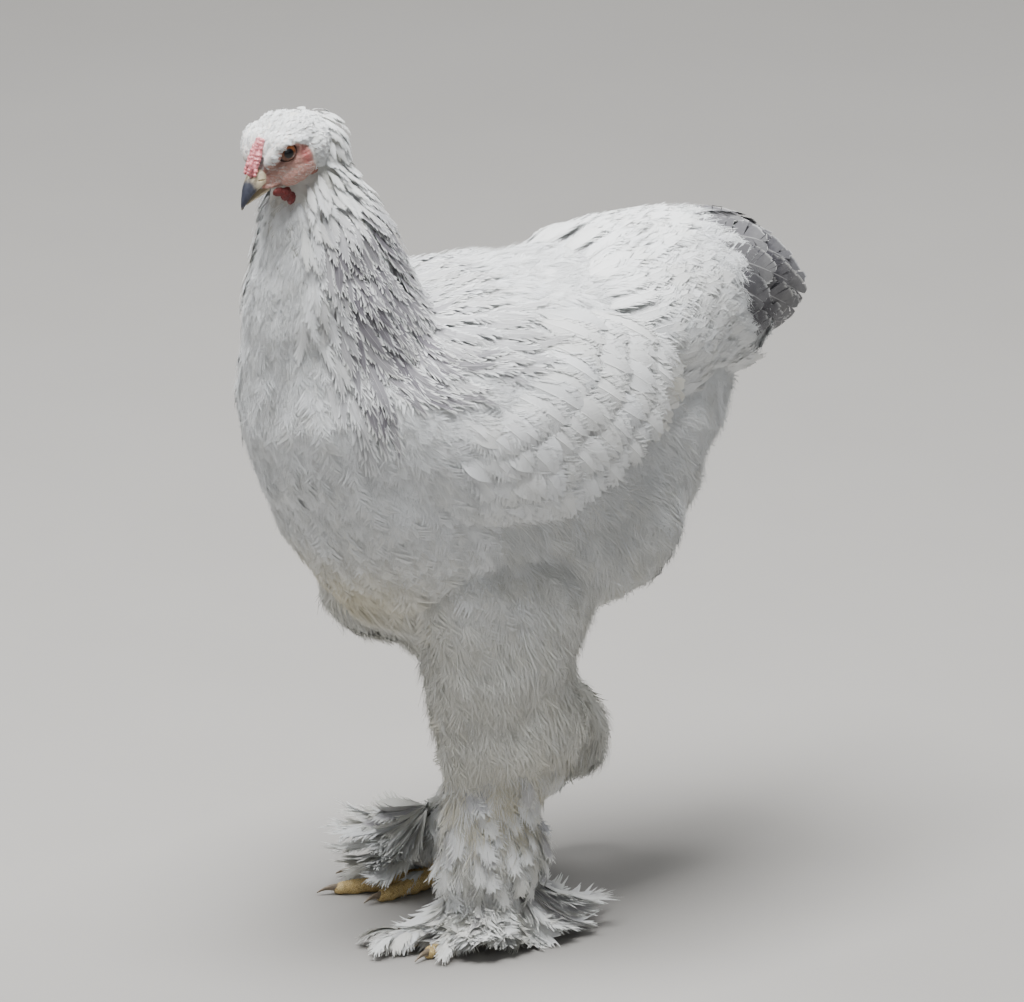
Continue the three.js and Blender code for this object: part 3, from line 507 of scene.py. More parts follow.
# Body feathers
# Broad, soft contour feathers cover the breast, back and thighs like shingles, roots towards the
# head. Each has a firm middle and free barbs at its edge, and is laid step by step along the skin
# on the lie of the coat. They are joined into a few pieces.
LIE = [
    # place on the body, way that the feathers point there
    ((0, -172, 545), (0.0, -0.1, -1.0)), ((0, -150, 500), (0.0, 0.1, -1.0)),
    ((0, -80, 500), (0.0, 0.45, -1.0)), ((45, -112, 490), (0.05, 0.25, -1.0)),
    ((0, -55, 450), (0.0, 0.95, -0.5)), ((60, -90, 430), (0.1, 0.5, -1.0)),
    ((0, -160, 400), (0.0, 0.05, -1.0)), ((60, -130, 370), (0.1, 0.35, -1.0)),
    ((0, -140, 290), (0.0, 0.35, -1.0)), ((60, -100, 300), (0.05, 0.5, -1.0)),
    ((0, -90, 220), (0.0, 0.8, -0.7)), ((0, 0, 185), (0.0, 1.0, -0.2)),
    ((90, -50, 380), (0.0, 1.0, -0.35)), ((95, 0, 340), (0.0, 1.0, -0.25)),
    ((90, 60, 360), (0.0, 1.0, -0.2)), ((0, -10, 446), (0.0, 1.0, 0.0)),
    ((0, 80, 445), (0.0, 1.0, 0.0)), ((60, 20, 435), (0.1, 1.0, -0.2)),
    ((45, 120, 430), (0.2, 1.0, -0.45)), ((0, 160, 440), (0.0, 1.0, -0.2)),
    ((60, 140, 370), (0.15, 0.8, -0.9)), ((25, 190, 350), (0.1, 0.5, -1.0)),
    ((85, 80, 310), (0.0, 0.7, -0.8)), ((0, 190, 310), (0.0, 0.2, -1.0)),
    ((50, 130, 250), (0.0, 0.35, -1.0)), ((0, 120, 215), (0.0, 0.6, -0.8)),
    ((80, 40, 250), (0.0, 0.45, -1.0)), ((85, -20, 240), (0.0, 0.3, -1.0)),
    ((50, -60, 180), (0.0, 0.15, -1.0)), ((80, 10, 170), (0.0, 0.15, -1.0)),
    ((50, 60, 160), (0.0, 0.1, -1.0)), ((50, 0, 100), (0.0, 0.1, -1.0)),
    ((50, 0, 40), (0.1, 0.0, -1.0)), ((50, 80, 70), (0.1, -0.1, -1.0)),
]
lie_places = np.array([place for place, _ in LIE], float)
lie_ways = np.array([way for _, way in LIE], float)
lie_places = np.concatenate([lie_places, lie_places * (-1, 1, 1)])
lie_ways = np.concatenate([lie_ways, lie_ways * (-1, 1, 1)])
lie_ways /= np.linalg.norm(lie_ways, axis=1, keepdims=True)


def unit(vectors):
    return vectors / np.maximum(np.linalg.norm(vectors, axis=-1, keepdims=True), 1e-9)


def coat_lie(points):
    """The way that feathers point: down the neck, back over the body, down the legs."""
    apart = ((points[:, None] - lie_places[None]) ** 2).sum(-1)
    shares = 1 / (apart + 60) ** 2
    return unit((shares[..., None] * lie_ways[None]).sum(1))


def turned(vectors, axes, angles):
    """Vectors turned about unit axes by angles."""
    c, s = np.cos(angles)[:, None], np.sin(angles)[:, None]
    along_axis = axes * (axes * vectors).sum(-1, keepdims=True)
    return vectors * c + np.cross(axes, vectors) * s + along_axis * (1 - c)


def lay(surface, roots, lengths, way, stations, rises, jitter, stiff=0.35):
    """Lays shafts on a surface: steps along the lie, each snapped to the skin and then raised."""
    at, normals = surface.nearest(roots)
    step = lengths[:, None] / (stations - 1)
    heading = turned(way(at), normals, jitter)
    shafts, outs = [], []
    for k in range(stations):
        share = k / (stations - 1)
        shafts.append(at + normals * rises(share)[:, None])
        outs.append(normals)
        flow = turned(way(at), normals, jitter)
        heading = unit(heading * stiff + flow * (1 - stiff))
        along = unit(heading - normals * (heading * normals).sum(-1, keepdims=True))
        at, normals = surface.nearest(at + along * step)
    return np.stack(shafts, 1), np.stack(outs, 1)


class Vane:
    """The pattern of one stiff feather: barb groups that lean back on both sides of a shaft."""

    def __init__(self, cells, outline, sweep, columns):
        along, across, group, faces = [], [], [], []
        for k in range(cells + 1):
            along.append(k / cells)
            across.append(0.0)
            group.append(0)
        for side in (1, -1):
            for k in range(cells):
                ring = []
                for edge in (0, 1):
                    row = [k + edge]
                    for column in range(1, columns + 1):
                        c = column / columns
                        along.append((k + edge) / cells + sweep * c)
                        across.append(side * c)
                        group.append(k if side > 0 else cells + k)
                        row.append(len(along) - 1)
                    ring.append(row)
                for column in range(columns):
                    quad = (*ring[0][column:column + 2], *ring[1][column:column + 2][::-1])
                    faces.append(quad if side > 0 else quad[::-1])
        self.along, self.across, self.group = np.array(along), np.array(across), np.array(group)
        self.faces = np.array(faces)
        base = np.clip(self.along - sweep * np.abs(self.across), 0, 1)
        self.width = np.interp(base, *np.array(outline, float).T)
        self.along = np.clip(self.along, 0, 1 + sweep * 0.5)

    def grown(self, shafts, outs, halves, draw, camber=0.08, ragged=0.02, roll=0.0):
        """Points of every feather: shafts and outs are (feathers, stations, 3)."""
        count, stations = shafts.shape[:2]
        groups = self.group.max() + 1
        c = np.abs(self.across)
        along = self.along[None] + draw.normal(0, ragged, (count, groups))[:, self.group] * c
        reach = 1 + draw.normal(0, 5 * ragged, (count, groups))[:, self.group] * c ** 2
        spot = np.clip(along, 0, 1.12) * (stations - 1)
        low = np.clip(np.floor(spot).astype(int), 0, stations - 2)
        share = (spot - low)[..., None]
        pick = np.arange(count)[:, None]
        centre = shafts[pick, low] * (1 - share) + shafts[pick, low + 1] * share
        tangent = unit(shafts[pick, low + 1] - shafts[pick, low])
        out = unit(outs[pick, low] * (1 - share) + outs[pick, low + 1] * share)
        beside = unit(np.cross(tangent, out))
        c = self.across[None, :, None]
        wide = (self.width[None] * halves[:, None] * reach)[..., None]
        tilt = np.asarray(roll)[..., None, None] if np.ndim(roll) else roll
        return centre + beside * c * wide + out * (wide * (tilt * c - camber * c ** 2))


class Plume(Vane):
    """The pattern of one soft feather: a firm middle, and barbs beyond it that lean back and part."""

    def __init__(self, barbs, outline, sweep=0.5, firm=0.5, cells=6):
        along, across, faces, group, base = [], [], [], [], []

        def lean(start, c):
            return start + sweep * (1 - 0.6 * start) * c ** 1.2

        for side, own in ((1, 2 * barbs), (-1, 2 * barbs + 1)):
            for k in range(cells + 1):
                start = 0.9 * k / cells
                for c in (0.0, firm):
                    along.append(lean(start, c))
                    across.append(side * c)
                    group.append(own)
                    base.append(start)
                if k < cells:
                    a = len(along) - 2
                    quad = (a, a + 1, a + 3, a + 2)
                    faces.append(quad if side > 0 else quad[::-1])
            for k in range(barbs):
                start = 0.9 * (k + 0.5) / barbs
                for c, thick in ((firm * 0.72, 0.62), (0.5 + firm / 2, 0.36), (1.0, 0.07)):
                    for edge in (-1, 1):
                        along.append(lean(start, c) + edge * thick * 0.9 / barbs)
                        across.append(side * c)
                        group.append(k if side > 0 else barbs + k)
                        base.append(start)
                    if c > firm:
                        a = len(along) - 4
                        quad = (a, a + 2, a + 3, a + 1)
                        faces.append(quad if side > 0 else quad[::-1])
        self.along, self.across, self.group = np.array(along), np.array(across), np.array(group)
        self.faces = np.array(faces)
        self.width = np.interp(base, *np.array(outline, float).T)

    def soft(self, shafts, outs, halves, draw, camber=0.1, puff=0.14, roll=0.0):
        """Points of every feather, each barb lifted and swayed a little on its own."""
        grown = self.grown(shafts, outs, halves, draw, camber=camber, ragged=0.025, roll=roll)
        groups = self.group.max() + 1
        c = np.clip(np.abs(self.across) - 0.3, 0, 1)
        lifts = draw.normal(0.15, 1, (len(shafts), groups))[:, self.group] * c * puff * halves[:, None]
        middle = outs[:, outs.shape[1] // 2][:, None]
        return grown + middle * lifts[..., None]


MOST_TRIANGLES = 190000     # of one coat piece
PATCH = 0.003               # width of a feather's place in the bake


def plumes(name, vane, points, attributes, finish, root_spots):
    """Joins grown feathers into pieces, with their vane map, attributes and spots for the bake."""
    count, each = points.shape[:2]
    parts = math.ceil(count / (MOST_TRIANGLES // (2 * len(vane.faces))))
    for part, chosen in enumerate(np.array_split(np.arange(count), parts)):
        label = name if parts == 1 else f"{name}_{part + 1}"
        faces = (vane.faces[None] + (np.arange(len(chosen)) * each)[:, None, None]).reshape(-1, 4)
        piece = piece_from(label, points[chosen].reshape(-1, 3), faces, finish)
        mesh = piece.data
        corners = np.zeros(len(mesh.loops), int)
        mesh.loops.foreach_get("vertex_index", corners)
        feather, spot = corners // each, corners % each
        vane_map = np.stack([vane.across * 0.5 + 0.5, np.clip(vane.along, 0, 1)], -1)[spot]
        mesh.uv_layers.new(name="vane").data.foreach_set("uv", vane_map.ravel())
        patch = (vane_map - 0.5) * PATCH + root_spots[chosen][feather]
        mesh.uv_layers.new(name="OFBake").data.foreach_set("uv", patch.ravel())
        for key, values in attributes.items():
            layer = mesh.attributes.new(key, "FLOAT", "POINT")
            layer.data.foreach_set("value", np.repeat(values[chosen], each).astype(np.float32))
        mesh.polygons.foreach_set("use_smooth", np.ones(len(mesh.polygons), bool))
        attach(piece, "root")


def toned(count, shade, warmth, grey=0.0):
    """How much painted shade, how warm and how grey each feather is."""
    values = {"shade": shade, "warmth": warmth, "grey": grey}
    return {key: np.clip(np.broadcast_to(value, count), 0, 1) for key, value in values.items()}


def spots(points, low=(0, -60, 330), high=(0, 150, 330)):
    """Places of roots on an unwrap of the body round the axis between two points."""
    low, high = np.array(low, float), np.array(high, float)
    axis = unit(high - low)
    beside = unit(np.cross(axis, (0.31, 0.2, 0.93) if abs(axis[2]) < 0.8 else (1, 0, 0)))
    over = np.cross(axis, beside)
    away = points - low
    along = away @ axis
    along = (along - along.min()) / max(np.ptp(along), 1e-6)
    round_it = np.arctan2(away @ beside, away @ over) / (2 * math.pi) + 0.5
    return np.stack([0.01 + 0.98 * round_it, 0.01 + 0.98 * along], -1)


def plumage(name, centre_to=(0.42, 0.78), dark=(0.17, 0.16, 0.19), worn=0.0, tip_white=0.45):
    """White plumage: cool where it is fresh, cream by its warmth, with fine barbs and a shaft. Painted shade
    darkens it to grey-green by the shade attribute and towards each feather's root.
    Where a feather is grey, its centre is dark out to centre_to, and its tip may be worn pale."""
    finish = Finish(name, Roughness=0.7)
    across, along = finish.vane_place()
    shade, warmth = finish.attribute("shade"), finish.attribute("warmth")
    white = finish.mix(warmth, (0.78, 0.80, 0.81), (0.66, 0.60, 0.43))
    # Painted shade: the shade attribute, and more towards each feather's root where the feathers over it lie.
    painted_shade = shade * 0.6 + 0.22 * (1 - finish.soft_step(along, 0.0, 0.6))
    shadowed = finish.mix(painted_shade, white, (0.40, 0.41, 0.36))
    grey = finish.attribute("grey")
    centre = 1 - finish.soft_step(across + finish.soft_step(along, 0.72, 1.0) * tip_white, *centre_to)
    marked = finish.clamped(grey * centre * finish.soft_step(along, 0.02, 0.2))
    mottle = finish.noise(160.0, 3.0)
    if worn:
        marked = marked * (1 - worn * finish.soft_step(along + mottle * 0.25, 0.93, 1.12))
    tones = finish.mix(mottle, dark, tuple(c * 1.7 for c in dark))
    colour = finish.mix(marked, shadowed, tones)
    barbs = finish.maths("SINE", (along * 46 - across * 14) * (2 * math.pi))
    shaft = 1 - finish.soft_step(across, 0.0, 0.07)
    barbed = finish.mix((barbs * 0.5 + 0.5) * 0.10, colour, (0.30, 0.30, 0.32))
    ribbed = finish.mix(shaft * 0.25, barbed, (0.85, 0.85, 0.83))
    height = barbs * 0.5 + shaft * 1.5
    return finish.finished(Base_Color=ribbed, Normal=finish.bump(height, 0.00012, 0.6))


white_plumage = plumage("white_plumage")
SOFT_OUTLINE = [(0, 0.5), (0.2, 0.85), (0.45, 1.0), (0.65, 0.92), (0.8, 0.66), (0.9, 0.4)]
body_vane = Plume(14, SOFT_OUTLINE, cells=5)
BODY_SPACING = 6.6


def warmth_at(points):
    """How warm the white is: stained most on the low breast and at the hocks, and a little warmer all over
    low on the body.
    """
    _, y, z = points.T
    low = np.clip((320 - z) / 160, 0, 1) * 0.38
    breast = np.exp(-(((y + 112) / 34) ** 2 + ((z - 236) / 34) ** 2)) * 0.9
    hock = np.exp(-(((y + 8) / 40) ** 2 + ((z - 100) / 22) ** 2)) * 0.6
    return np.clip(low + breast + hock, 0, 1)


def low_shade(points):
    """Painted shade: the coat is darker low on the body than on the back, wings and breast."""
    return np.clip((330 - points[:, 2]) / 170, 0, 1) * 0.26


def on_body(points):
    return (np.linalg.norm(to_head(points), axis=1) > 34) & (points[:, 2] > 112)


draw = np.random.default_rng(11)
roots = ground.scatter(3, BODY_SPACING, on_body)
count = len(roots)
neck_share = np.clip((roots[:, 2] - 400) / 130, 0, 1)
lengths = (30 - 15 * neck_share) * draw.normal(1, 0.1, count)
halves = (12.5 - 6.5 * neck_share) * draw.normal(1, 0.08, count)
lift = draw.uniform(1.6, 2.6, count) * (1 - 0.3 * neck_share)
rise = lambda share: -0.3 + lift * share
shafts, outs = lay(ground, roots, lengths, coat_lie, 6, rise, draw.normal(0, 0.08, count))
points = body_vane.soft(shafts, outs, halves, draw, puff=0.07, roll=draw.normal(0, 0.05, count))
tones = toned(count, draw.normal(0.06, 0.08, count) + low_shade(roots),
              warmth_at(roots) + draw.normal(0, 0.06, count))
plumes("body_feathers", body_vane, points, tones, white_plumage, spots(roots))

# Hackle
# Long pointed feathers fall from behind the face over the neck, the shoulders and the top of the
# back. Their centres are grey on the sides and nape with white edges, and the throat has none.
hackle_plumage = plumage("hackle_plumage", (0.52, 0.85), (0.10, 0.092, 0.108), tip_white=0.3)
HACKLE_SPACING, HACKLE_LOWEST, HACKLE_BACK = 4.7, 415, -42
HACKLE_OPEN = math.radians(38)      # to each side of the throat that has no hackle
LANCE_OUTLINE = [(0, 0.5), (0.2, 0.85), (0.4, 1.0), (0.6, 0.82), (0.75, 0.5), (0.9, 0.16)]
lance_vane = Plume(9, LANCE_OUTLINE, sweep=0.3, firm=0.6)


def neck_angle(points):
    """How far round the neck a place is, from the throat."""
    x, y = row_at(NECK, points[:, 2])[:2]
    return np.abs(np.arctan2(points[:, 0] - x, -(points[:, 1] - y)))


def on_hackle(points):
    z = points[:, 2]
    q = to_head(points)
    behind_face = (np.linalg.norm(q - (0, -6, 0), axis=1) > 27) & (q[:, 2] < 7)
    open_at = HACKLE_OPEN + np.clip((455 - z) / 60, 0, 1) * 0.35
    below = (z > HACKLE_LOWEST) & (points[:, 1] < HACKLE_BACK)
    return behind_face & below & (neck_angle(points) > open_at)


draw = np.random.default_rng(23)
roots = ground.scatter(5, HACKLE_SPACING, on_hackle)
count = len(roots)
down_neck = np.clip((545 - roots[:, 2]) / 130, 0, 1)
side_share = np.clip((neck_angle(roots) - HACKLE_OPEN) / 0.5, 0, 1)
lengths = (15 + 52 * down_neck) * draw.normal(1, 0.12, count)
halves = (2.7 + 3.5 * down_neck) * draw.normal(1, 0.1, count)
lift = draw.uniform(2.8, 4.8, count)
near_head = np.clip((roots[:, 2] - 515) / 25, 0, 1)
lift = lift * (1 - 0.4 * near_head)
over_face = 3.0 * (1 - down_neck) * (1 - 0.6 * near_head) + 1.9 * near_head
rise = lambda share: 0.5 + lift * share + over_face * share ** 0.5
shafts, outs = lay(ground, roots, lengths, coat_lie, 9, rise, draw.normal(0, 0.13, count))
rolls = draw.normal(0, 0.1, count)
points = lance_vane.soft(shafts, outs, halves, draw, camber=0.16, puff=0.06, roll=rolls)
on_cape = np.clip((-roots[:, 1] - 52) / 34, 0.45, 1)
below_head = np.clip((527 - roots[:, 2]) / 26, 0, 1)
grey = side_share * on_cape * below_head * draw.uniform(0.8, 1.0, count)
tones = toned(count, draw.normal(0.08, 0.08, count), draw.uniform(0.0, 0.15, count), grey)
neck_spots = spots(roots, (0, -60, 400), (0, -130, 560))
plumes("hackle_feathers", lance_vane, points, tones, hackle_plumage, neck_spots)

# Face
# The bare skin of the face is finely wrinkled and pink, redder behind the eye, and runs from the
# beak under the heavy brow to the ear. It is a closed form with lids round each eye, remeshed
# finely over the skull, and the head's feathers grow from it where it isn't bare.
EYE_AT, EYE_R = np.array((13.6, -15.4, 9.2)), 7.4
LIDS_OUT, LID_R, LID_THICK = (4.7, 0.8, -0.2), 6.1, 1.0     # the lids' place is given from the eye's
FACE_VOXEL, BARE_EDGE = 0.65, 1.6
head_matrix = Matrix(head_turn.tolist()).to_4x4()


def bulb(at, radii, turn=(0, 0, 0)):
    """A rounded swelling in the head's frame: place, half sizes and turns in degrees."""
    bpy.ops.mesh.primitive_uv_sphere_add(segments=24, ring_count=16, radius=1)
    made = bpy.context.object
    about_x, about_y, about_z = [
        Matrix.Rotation(math.radians(angle), 4, axis) for angle, axis in zip(turn, "XYZ")
    ]
    sized = Matrix.Diagonal([r * MM for r in radii] + [1])
    lean = about_z @ about_y @ about_x
    made.matrix_world = Matrix.Translation(in_frame(from_head(at))) @ head_matrix @ lean @ sized
    bpy.ops.object.transform_apply(location=True, rotation=True, scale=True)
    return made


def fused(name, parts, voxel, smooth):
    """One closed piece from several overlapping ones."""
    only(*parts)
    bpy.ops.object.join()
    piece = bpy.context.object
    piece.name = piece.data.name = name
    finish_with(piece, "REMESH", mode="VOXEL", voxel_size=voxel * MM)
    finish_with(piece, "SMOOTH", iterations=smooth, factor=0.5)
    bpy.ops.object.shade_smooth()
    return piece


def wrinkled(piece, size, depth, group=""):
    """Fine folds pressed into a piece."""
    folds = bpy.data.textures.new("wrinkles", "CLOUDS")
    folds.noise_scale, folds.noise_depth = size * MM, 2
    finish_with(piece, "DISPLACE", texture=folds, strength=depth * MM, mid_level=0.5,
                texture_coords="LOCAL", vertex_group=group)


def lids(side):
    """The rim of both lids, an almond ring round the opening."""
    bpy.ops.mesh.primitive_torus_add(
        major_radius=LID_R * MM, minor_radius=LID_THICK * MM, major_segments=48, minor_segments=12,
    )
    made = bpy.context.object
    at = (EYE_AT + LIDS_OUT) * (side, 1, 1)
    lean = Matrix.Rotation(math.radians(90 - side * 16), 4, "Z") @ Matrix.Rotation(math.radians(90), 4, "X")
    shape = Matrix.Diagonal((1.12, 0.84, 1.0, 1))
    made.matrix_world = Matrix.Translation(in_frame(from_head(at))) @ head_matrix @ lean @ shape
    bpy.ops.object.transform_apply(location=True, rotation=True, scale=True)
    return made


def bare_face(points):
    """1 on the bare skin round the eye and back to the ear, 0 under the feathers."""
    q = to_head(points)
    x, y, z = np.abs(q[:, 0]), q[:, 1], q[:, 2]
    brow = np.interp(y, (-38, -27, -20, -10, 0, 3), (-1, 9.5, 15.5, 13.5, 4.5, -10))
    jaw = np.interp(y, (-38, -33, -22, -8, 4), (-11, -14.5, -17, -21, -24))
    behind = np.interp(z, (-26, -18, -12, -7, 4), (2, 5, 0, -3, -2.5))
    inside = np.minimum(np.minimum(brow - z, z - jaw), np.minimum(behind - y, x - 4))
    return np.clip(inside / BARE_EDGE + 0.5, 0, 1)


skull = loft("face_form", skull_rings(1.8, 7.0))
face_forms = [skull]
for side in (1, -1):
    face_forms += [
        lids(side),
        bulb((side * 11.0, -23.2, 10.0), (4.4, 10, 5.0), (37, 0, -side * 29)),
        bulb((side * 6.0, -17.5, 10.5), (8.5, 10.5, 8.2), (30, 0, 0)),
        bulb((side * 8.0, -1.0, 7.5), (13, 17, 11.8)),
        bulb((side * 14.2, -14.5, 15.4), (4.4, 8.5, 3.4), (0, 0, -side * 8)),
        bulb((side * 17.8, -5.5, 11.6), (3.6, 8, 3.2), (-32, 0, side * 4)),
        bulb((side * 17.2, -12, -7), (5.8, 15, 8.2), (6, 0, -side * 14)),
        bulb((side * 10.5, -28, -8.2), (2.6, 8.5, 1.5), (4, 0, -side * 28)),
        bulb((side * 4, 12, -17), (15, 15, 18)), bulb((side * 5, 12, -32), (15, 14, 16)),
    ]
face = fused("face_skin", face_forms, FACE_VOXEL, 3)
for side in (1, -1):
    socket = bulb(EYE_AT * (side, 1, 1), (EYE_R + 0.1, EYE_R + 0.1, EYE_R + 0.1))
    finish_with(face, "BOOLEAN", object=socket, operation="DIFFERENCE", solver="EXACT")
    bpy.data.objects.remove(socket)
face_places = np.array([v.co for v in face.data.vertices]) / MM - (0, ALONG, 0)
bare = bare_face(face_places)
group = face.vertex_groups.new(name="folds")
for i in np.nonzero(bare > 0.02)[0]:
    group.add([int(i)], float(bare[i]), "REPLACE")
wrinkled(face, 2.2, 1.3, "folds")
wrinkled(face, 0.8, 0.4, "folds")
head_places = to_head(face_places)
behind_eye = np.exp(-(((head_places[:, 1] + 7) / 3.6) ** 2 + ((head_places[:, 2] - 2) / 6) ** 2))
lore = np.exp(-(((head_places[:, 1] + 25) / 5) ** 2 + ((head_places[:, 2] - 5) / 6) ** 2))
for key, values in (("bare", bare), ("redness", behind_eye), ("brownness", lore)):
    layer = face.data.attributes.new(key, "FLOAT", "POINT")
    layer.data.foreach_set("value", values.astype(np.float32))

face_finish = Finish("face_skin", Roughness=0.55, Subsurface_Weight=0.12, Subsurface_Scale=0.002)
face_finish.shader.inputs["Subsurface Radius"].default_value = (1.0, 0.3, 0.2)
fine = face_finish.noise(900.0, 3.0)
broad = face_finish.noise(220.0, 2.0)
pink = face_finish.mix(broad, (0.32, 0.13, 0.10), (0.46, 0.24, 0.195))
pink = face_finish.mix(face_finish.attribute("brownness") * 0.75, pink, (0.20, 0.10, 0.07))
pink = face_finish.mix(face_finish.attribute("redness") * 0.85, pink, (0.42, 0.045, 0.05))
# Painted highlights: the tops of the fine wrinkles are paler.
pink_with_painted_highlights = face_finish.mix(fine * 0.3, pink, (0.70, 0.52, 0.46))
skin_tone = face_finish.mix(face_finish.attribute("bare"), (0.62, 0.60, 0.57), pink_with_painted_highlights)
face.data.materials.append(face_finish.finished(Base_Color=skin_tone, Normal=face_finish.bump(fine, 0.0004)))
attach(face, "root")

# Head feathers
# The head is covered by short dense feathers, smallest round the face. The brow's hang over the
# eye, and a few bristles cross the bare cheek.
HEAD_SPACING, BRISTLE_SPACING = 1.9, 1.6


class Tuft(Vane):
    """The pattern of one tuft: narrow tapered barbs that fan out from their root."""

    def __init__(self, barbs, cells=3, thin=0.075):
        along, across, width, faces, group = [], [], [], [], []
        for j in range(barbs):
            way = 2 * j / (barbs - 1) - 1
            reach = 1 - 0.28 * way * way - 0.12 * (j % 2)
            for k in range(cells + 1):
                share = k / cells
                taper = thin * (1 - share) ** 0.7 + 0.012
                for edge in (-1, 1):
                    along.append(share * reach)
                    across.append(way * (0.12 + 0.88 * share) + edge * taper)
                    width.append(1.0)
                    group.append(j)
                if k < cells:
                    a = len(along) - 2
                    faces.append((a, a + 1, a + 3, a + 2))
        self.along, self.across, self.width = np.array(along), np.array(across), np.array(width)
        self.faces, self.group = np.array(faces), np.array(group)

    def puffed(self, shafts, outs, halves, draw, puff):
        grown = self.grown(shafts, outs, halves, draw, camber=0.05, ragged=0.0)
        barbs = self.group.max() + 1
        lifts = draw.normal(0.35, 0.5, (len(shafts), barbs))[:, self.group] * self.along * puff
        sway = draw.normal(0, 0.5, (len(shafts), barbs))[:, self.group] * self.along ** 2 * puff
        out = outs[:, 2][:, None]
        beside = unit(np.cross(shafts[:, 1] - shafts[:, 0], outs[:, 0]))[:, None]
        return grown + out * lifts[..., None] + beside * sway[..., None]


head_vane = Plume(4, [(0, 0.6), (0.35, 1.0), (0.65, 0.85), (0.9, 0.35)], firm=0.4, cells=2)
bristle = Tuft(3, cells=3, thin=0.12)
face_ground = Ground(face)


def head_lie(points):
    """Back over the crown and down the cheeks and the throat."""
    q = to_head(points)
    way = np.stack([q[:, 0] * 0.012, np.ones(len(q)), -0.25 - 0.02 * (14 - q[:, 2])], -1)
    return unit(unit(way) @ head_turn.T)


def on_head(points):
    q = to_head(points)
    near = np.stack([np.abs(q[:, 0]), q[:, 1], q[:, 2]], -1)
    opening = np.linalg.norm(near - EYE_AT - LIDS_OUT, axis=1)
    return (bare_face(points) < 0.4) & (q[:, 1] > -34.5) & (points[:, 2] > 508) & (opening > 7.2)


def on_skull(points):
    """Spots round the head's own axis."""
    return spots(points, (0, -170, 552), (0, -100, 552))


def on_cheek(points):
    q = to_head(points)
    return (bare_face(points) > 0.3) & (q[:, 2] < 1 - 0.25 * (q[:, 1] + 20)) & (q[:, 2] > -30)


draw = np.random.default_rng(31)
roots = face_ground.scatter(7, HEAD_SPACING, on_head)
count = len(roots)
q = to_head(roots)
back = np.clip((q[:, 1] + 34) / 55, 0, 1)
lengths = (3.8 + 4.5 * back + 3 * back ** 4) * draw.normal(1, 0.15, count)
lift = draw.uniform(0.8, 1.7, count) * (0.8 + 0.7 * back)
rise = lambda share: -0.2 + lift * share
shafts, outs = lay(face_ground, roots, lengths, head_lie, 5, rise, draw.normal(0, 0.3, count))
points = head_vane.soft(shafts, outs, (1.1 + 1.3 * back) * draw.normal(1, 0.1, count), draw, puff=0.3)
tones = toned(count, draw.normal(0.04, 0.05, count), draw.uniform(0.0, 0.12, count))
plumes("head_feathers", head_vane, points, tones, white_plumage, on_skull(roots))

roots = face_ground.scatter(8, BRISTLE_SPACING, on_cheek)
count = len(roots)
lift = draw.uniform(0.3, 0.9, count)
lengths = draw.uniform(6, 10, count)
shafts, outs = lay(face_ground, roots, lengths, head_lie, 6, rise, draw.normal(0, 0.08, count))
points = bristle.puffed(shafts, outs, draw.uniform(0.3, 0.7, count), draw, 0.12)
tones = toned(count, draw.uniform(0, 0.3, count), draw.uniform(0.1, 0.5, count))
plumes("cheek_bristles", bristle, points, tones, white_plumage, on_skull(roots))

# Eyes
# Each eye is a wet ball with a dark pupil in a brown iris, set deep between the lids. The pattern
# is worked out from the distance to the middle of the pupil.
for side, name in ((1, "left"), (-1, "right")):
    eye = bulb(EYE_AT * (side, 1, 1), (EYE_R, EYE_R, EYE_R))
    eye.name = eye.data.name = f"eyeball_{name}"
    finish_with(eye, "SUBSURF", levels=1, render_levels=1)
    bpy.ops.object.shade_smooth()
    way = unit(np.array((side * 0.88, -0.42, 0.22)))
    pupil_at = in_frame(from_head(EYE_AT * (side, 1, 1) + way * EYE_R))
    eye_finish = Finish(f"eye_{name}", Roughness=0.06, Coat_Weight=0.25, Coat_Roughness=0.02, IOR=1.34)
    away = eye_finish.distance_to(pupil_at)
    rays = eye_finish.noise(700.0, 3.0)
    iris = eye_finish.mix(rays, (0.06, 0.02, 0.009), (0.15, 0.05, 0.017))
    ringed = eye_finish.mix(eye_finish.soft_step(away, 0.0056, 0.0064), iris, (0.025, 0.016, 0.014))
    pattern = eye_finish.mix(eye_finish.soft_step(away, 0.0030, 0.0036), (0.004, 0.004, 0.005), ringed)
    eye.data.materials.append(eye_finish.finished(Base_Color=pattern))
    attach(eye, "root")
    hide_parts(f"eye_{name}")

# Beak
# Two horn sheaths: the upper one is short, stout and hooked, dark blue-grey along its ridge and
# tip and pale horn at its edge, with a slot for each nostril. The lower one is pale horn.
BEAK_BASE = -31.0
# Along, top, bottom, half width
UPPER_BEAK = [
    (BEAK_BASE, 3, -8.5, 8), (-37, 0.5, -9.2, 6.8), (-43, -3.2, -10.4, 5), (-48, -7.8, -13, 2.9),
    (-51, -12, -15, 1.6), (-52.5, -15, -16.2, 0.7),
]
LOWER_BEAK = [
    (BEAK_BASE, -9.2, -15.6, 6.8), (-38, -9.8, -15.2, 5.4), (-44, -11.2, -14.8, 3.4),
    (-48, -13.7, -15.2, 1.1),
]


def smooth_rows(rows, count):
    """A table of a few rows, rounded off to many."""
    rows = np.array(rows, float)
    at = np.linspace(0, len(rows) - 1, count)
    low = np.clip(at.astype(int), 0, len(rows) - 2)
    u = (at - low)[:, None]
    slopes = np.gradient(rows, axis=0)
    start = (2 * u ** 3 - 3 * u ** 2 + 1) * rows[low] + (u ** 3 - 2 * u ** 2 + u) * slopes[low]
    return start + (3 * u ** 2 - 2 * u ** 3) * rows[low + 1] + (u ** 3 - u ** 2) * slopes[low + 1]


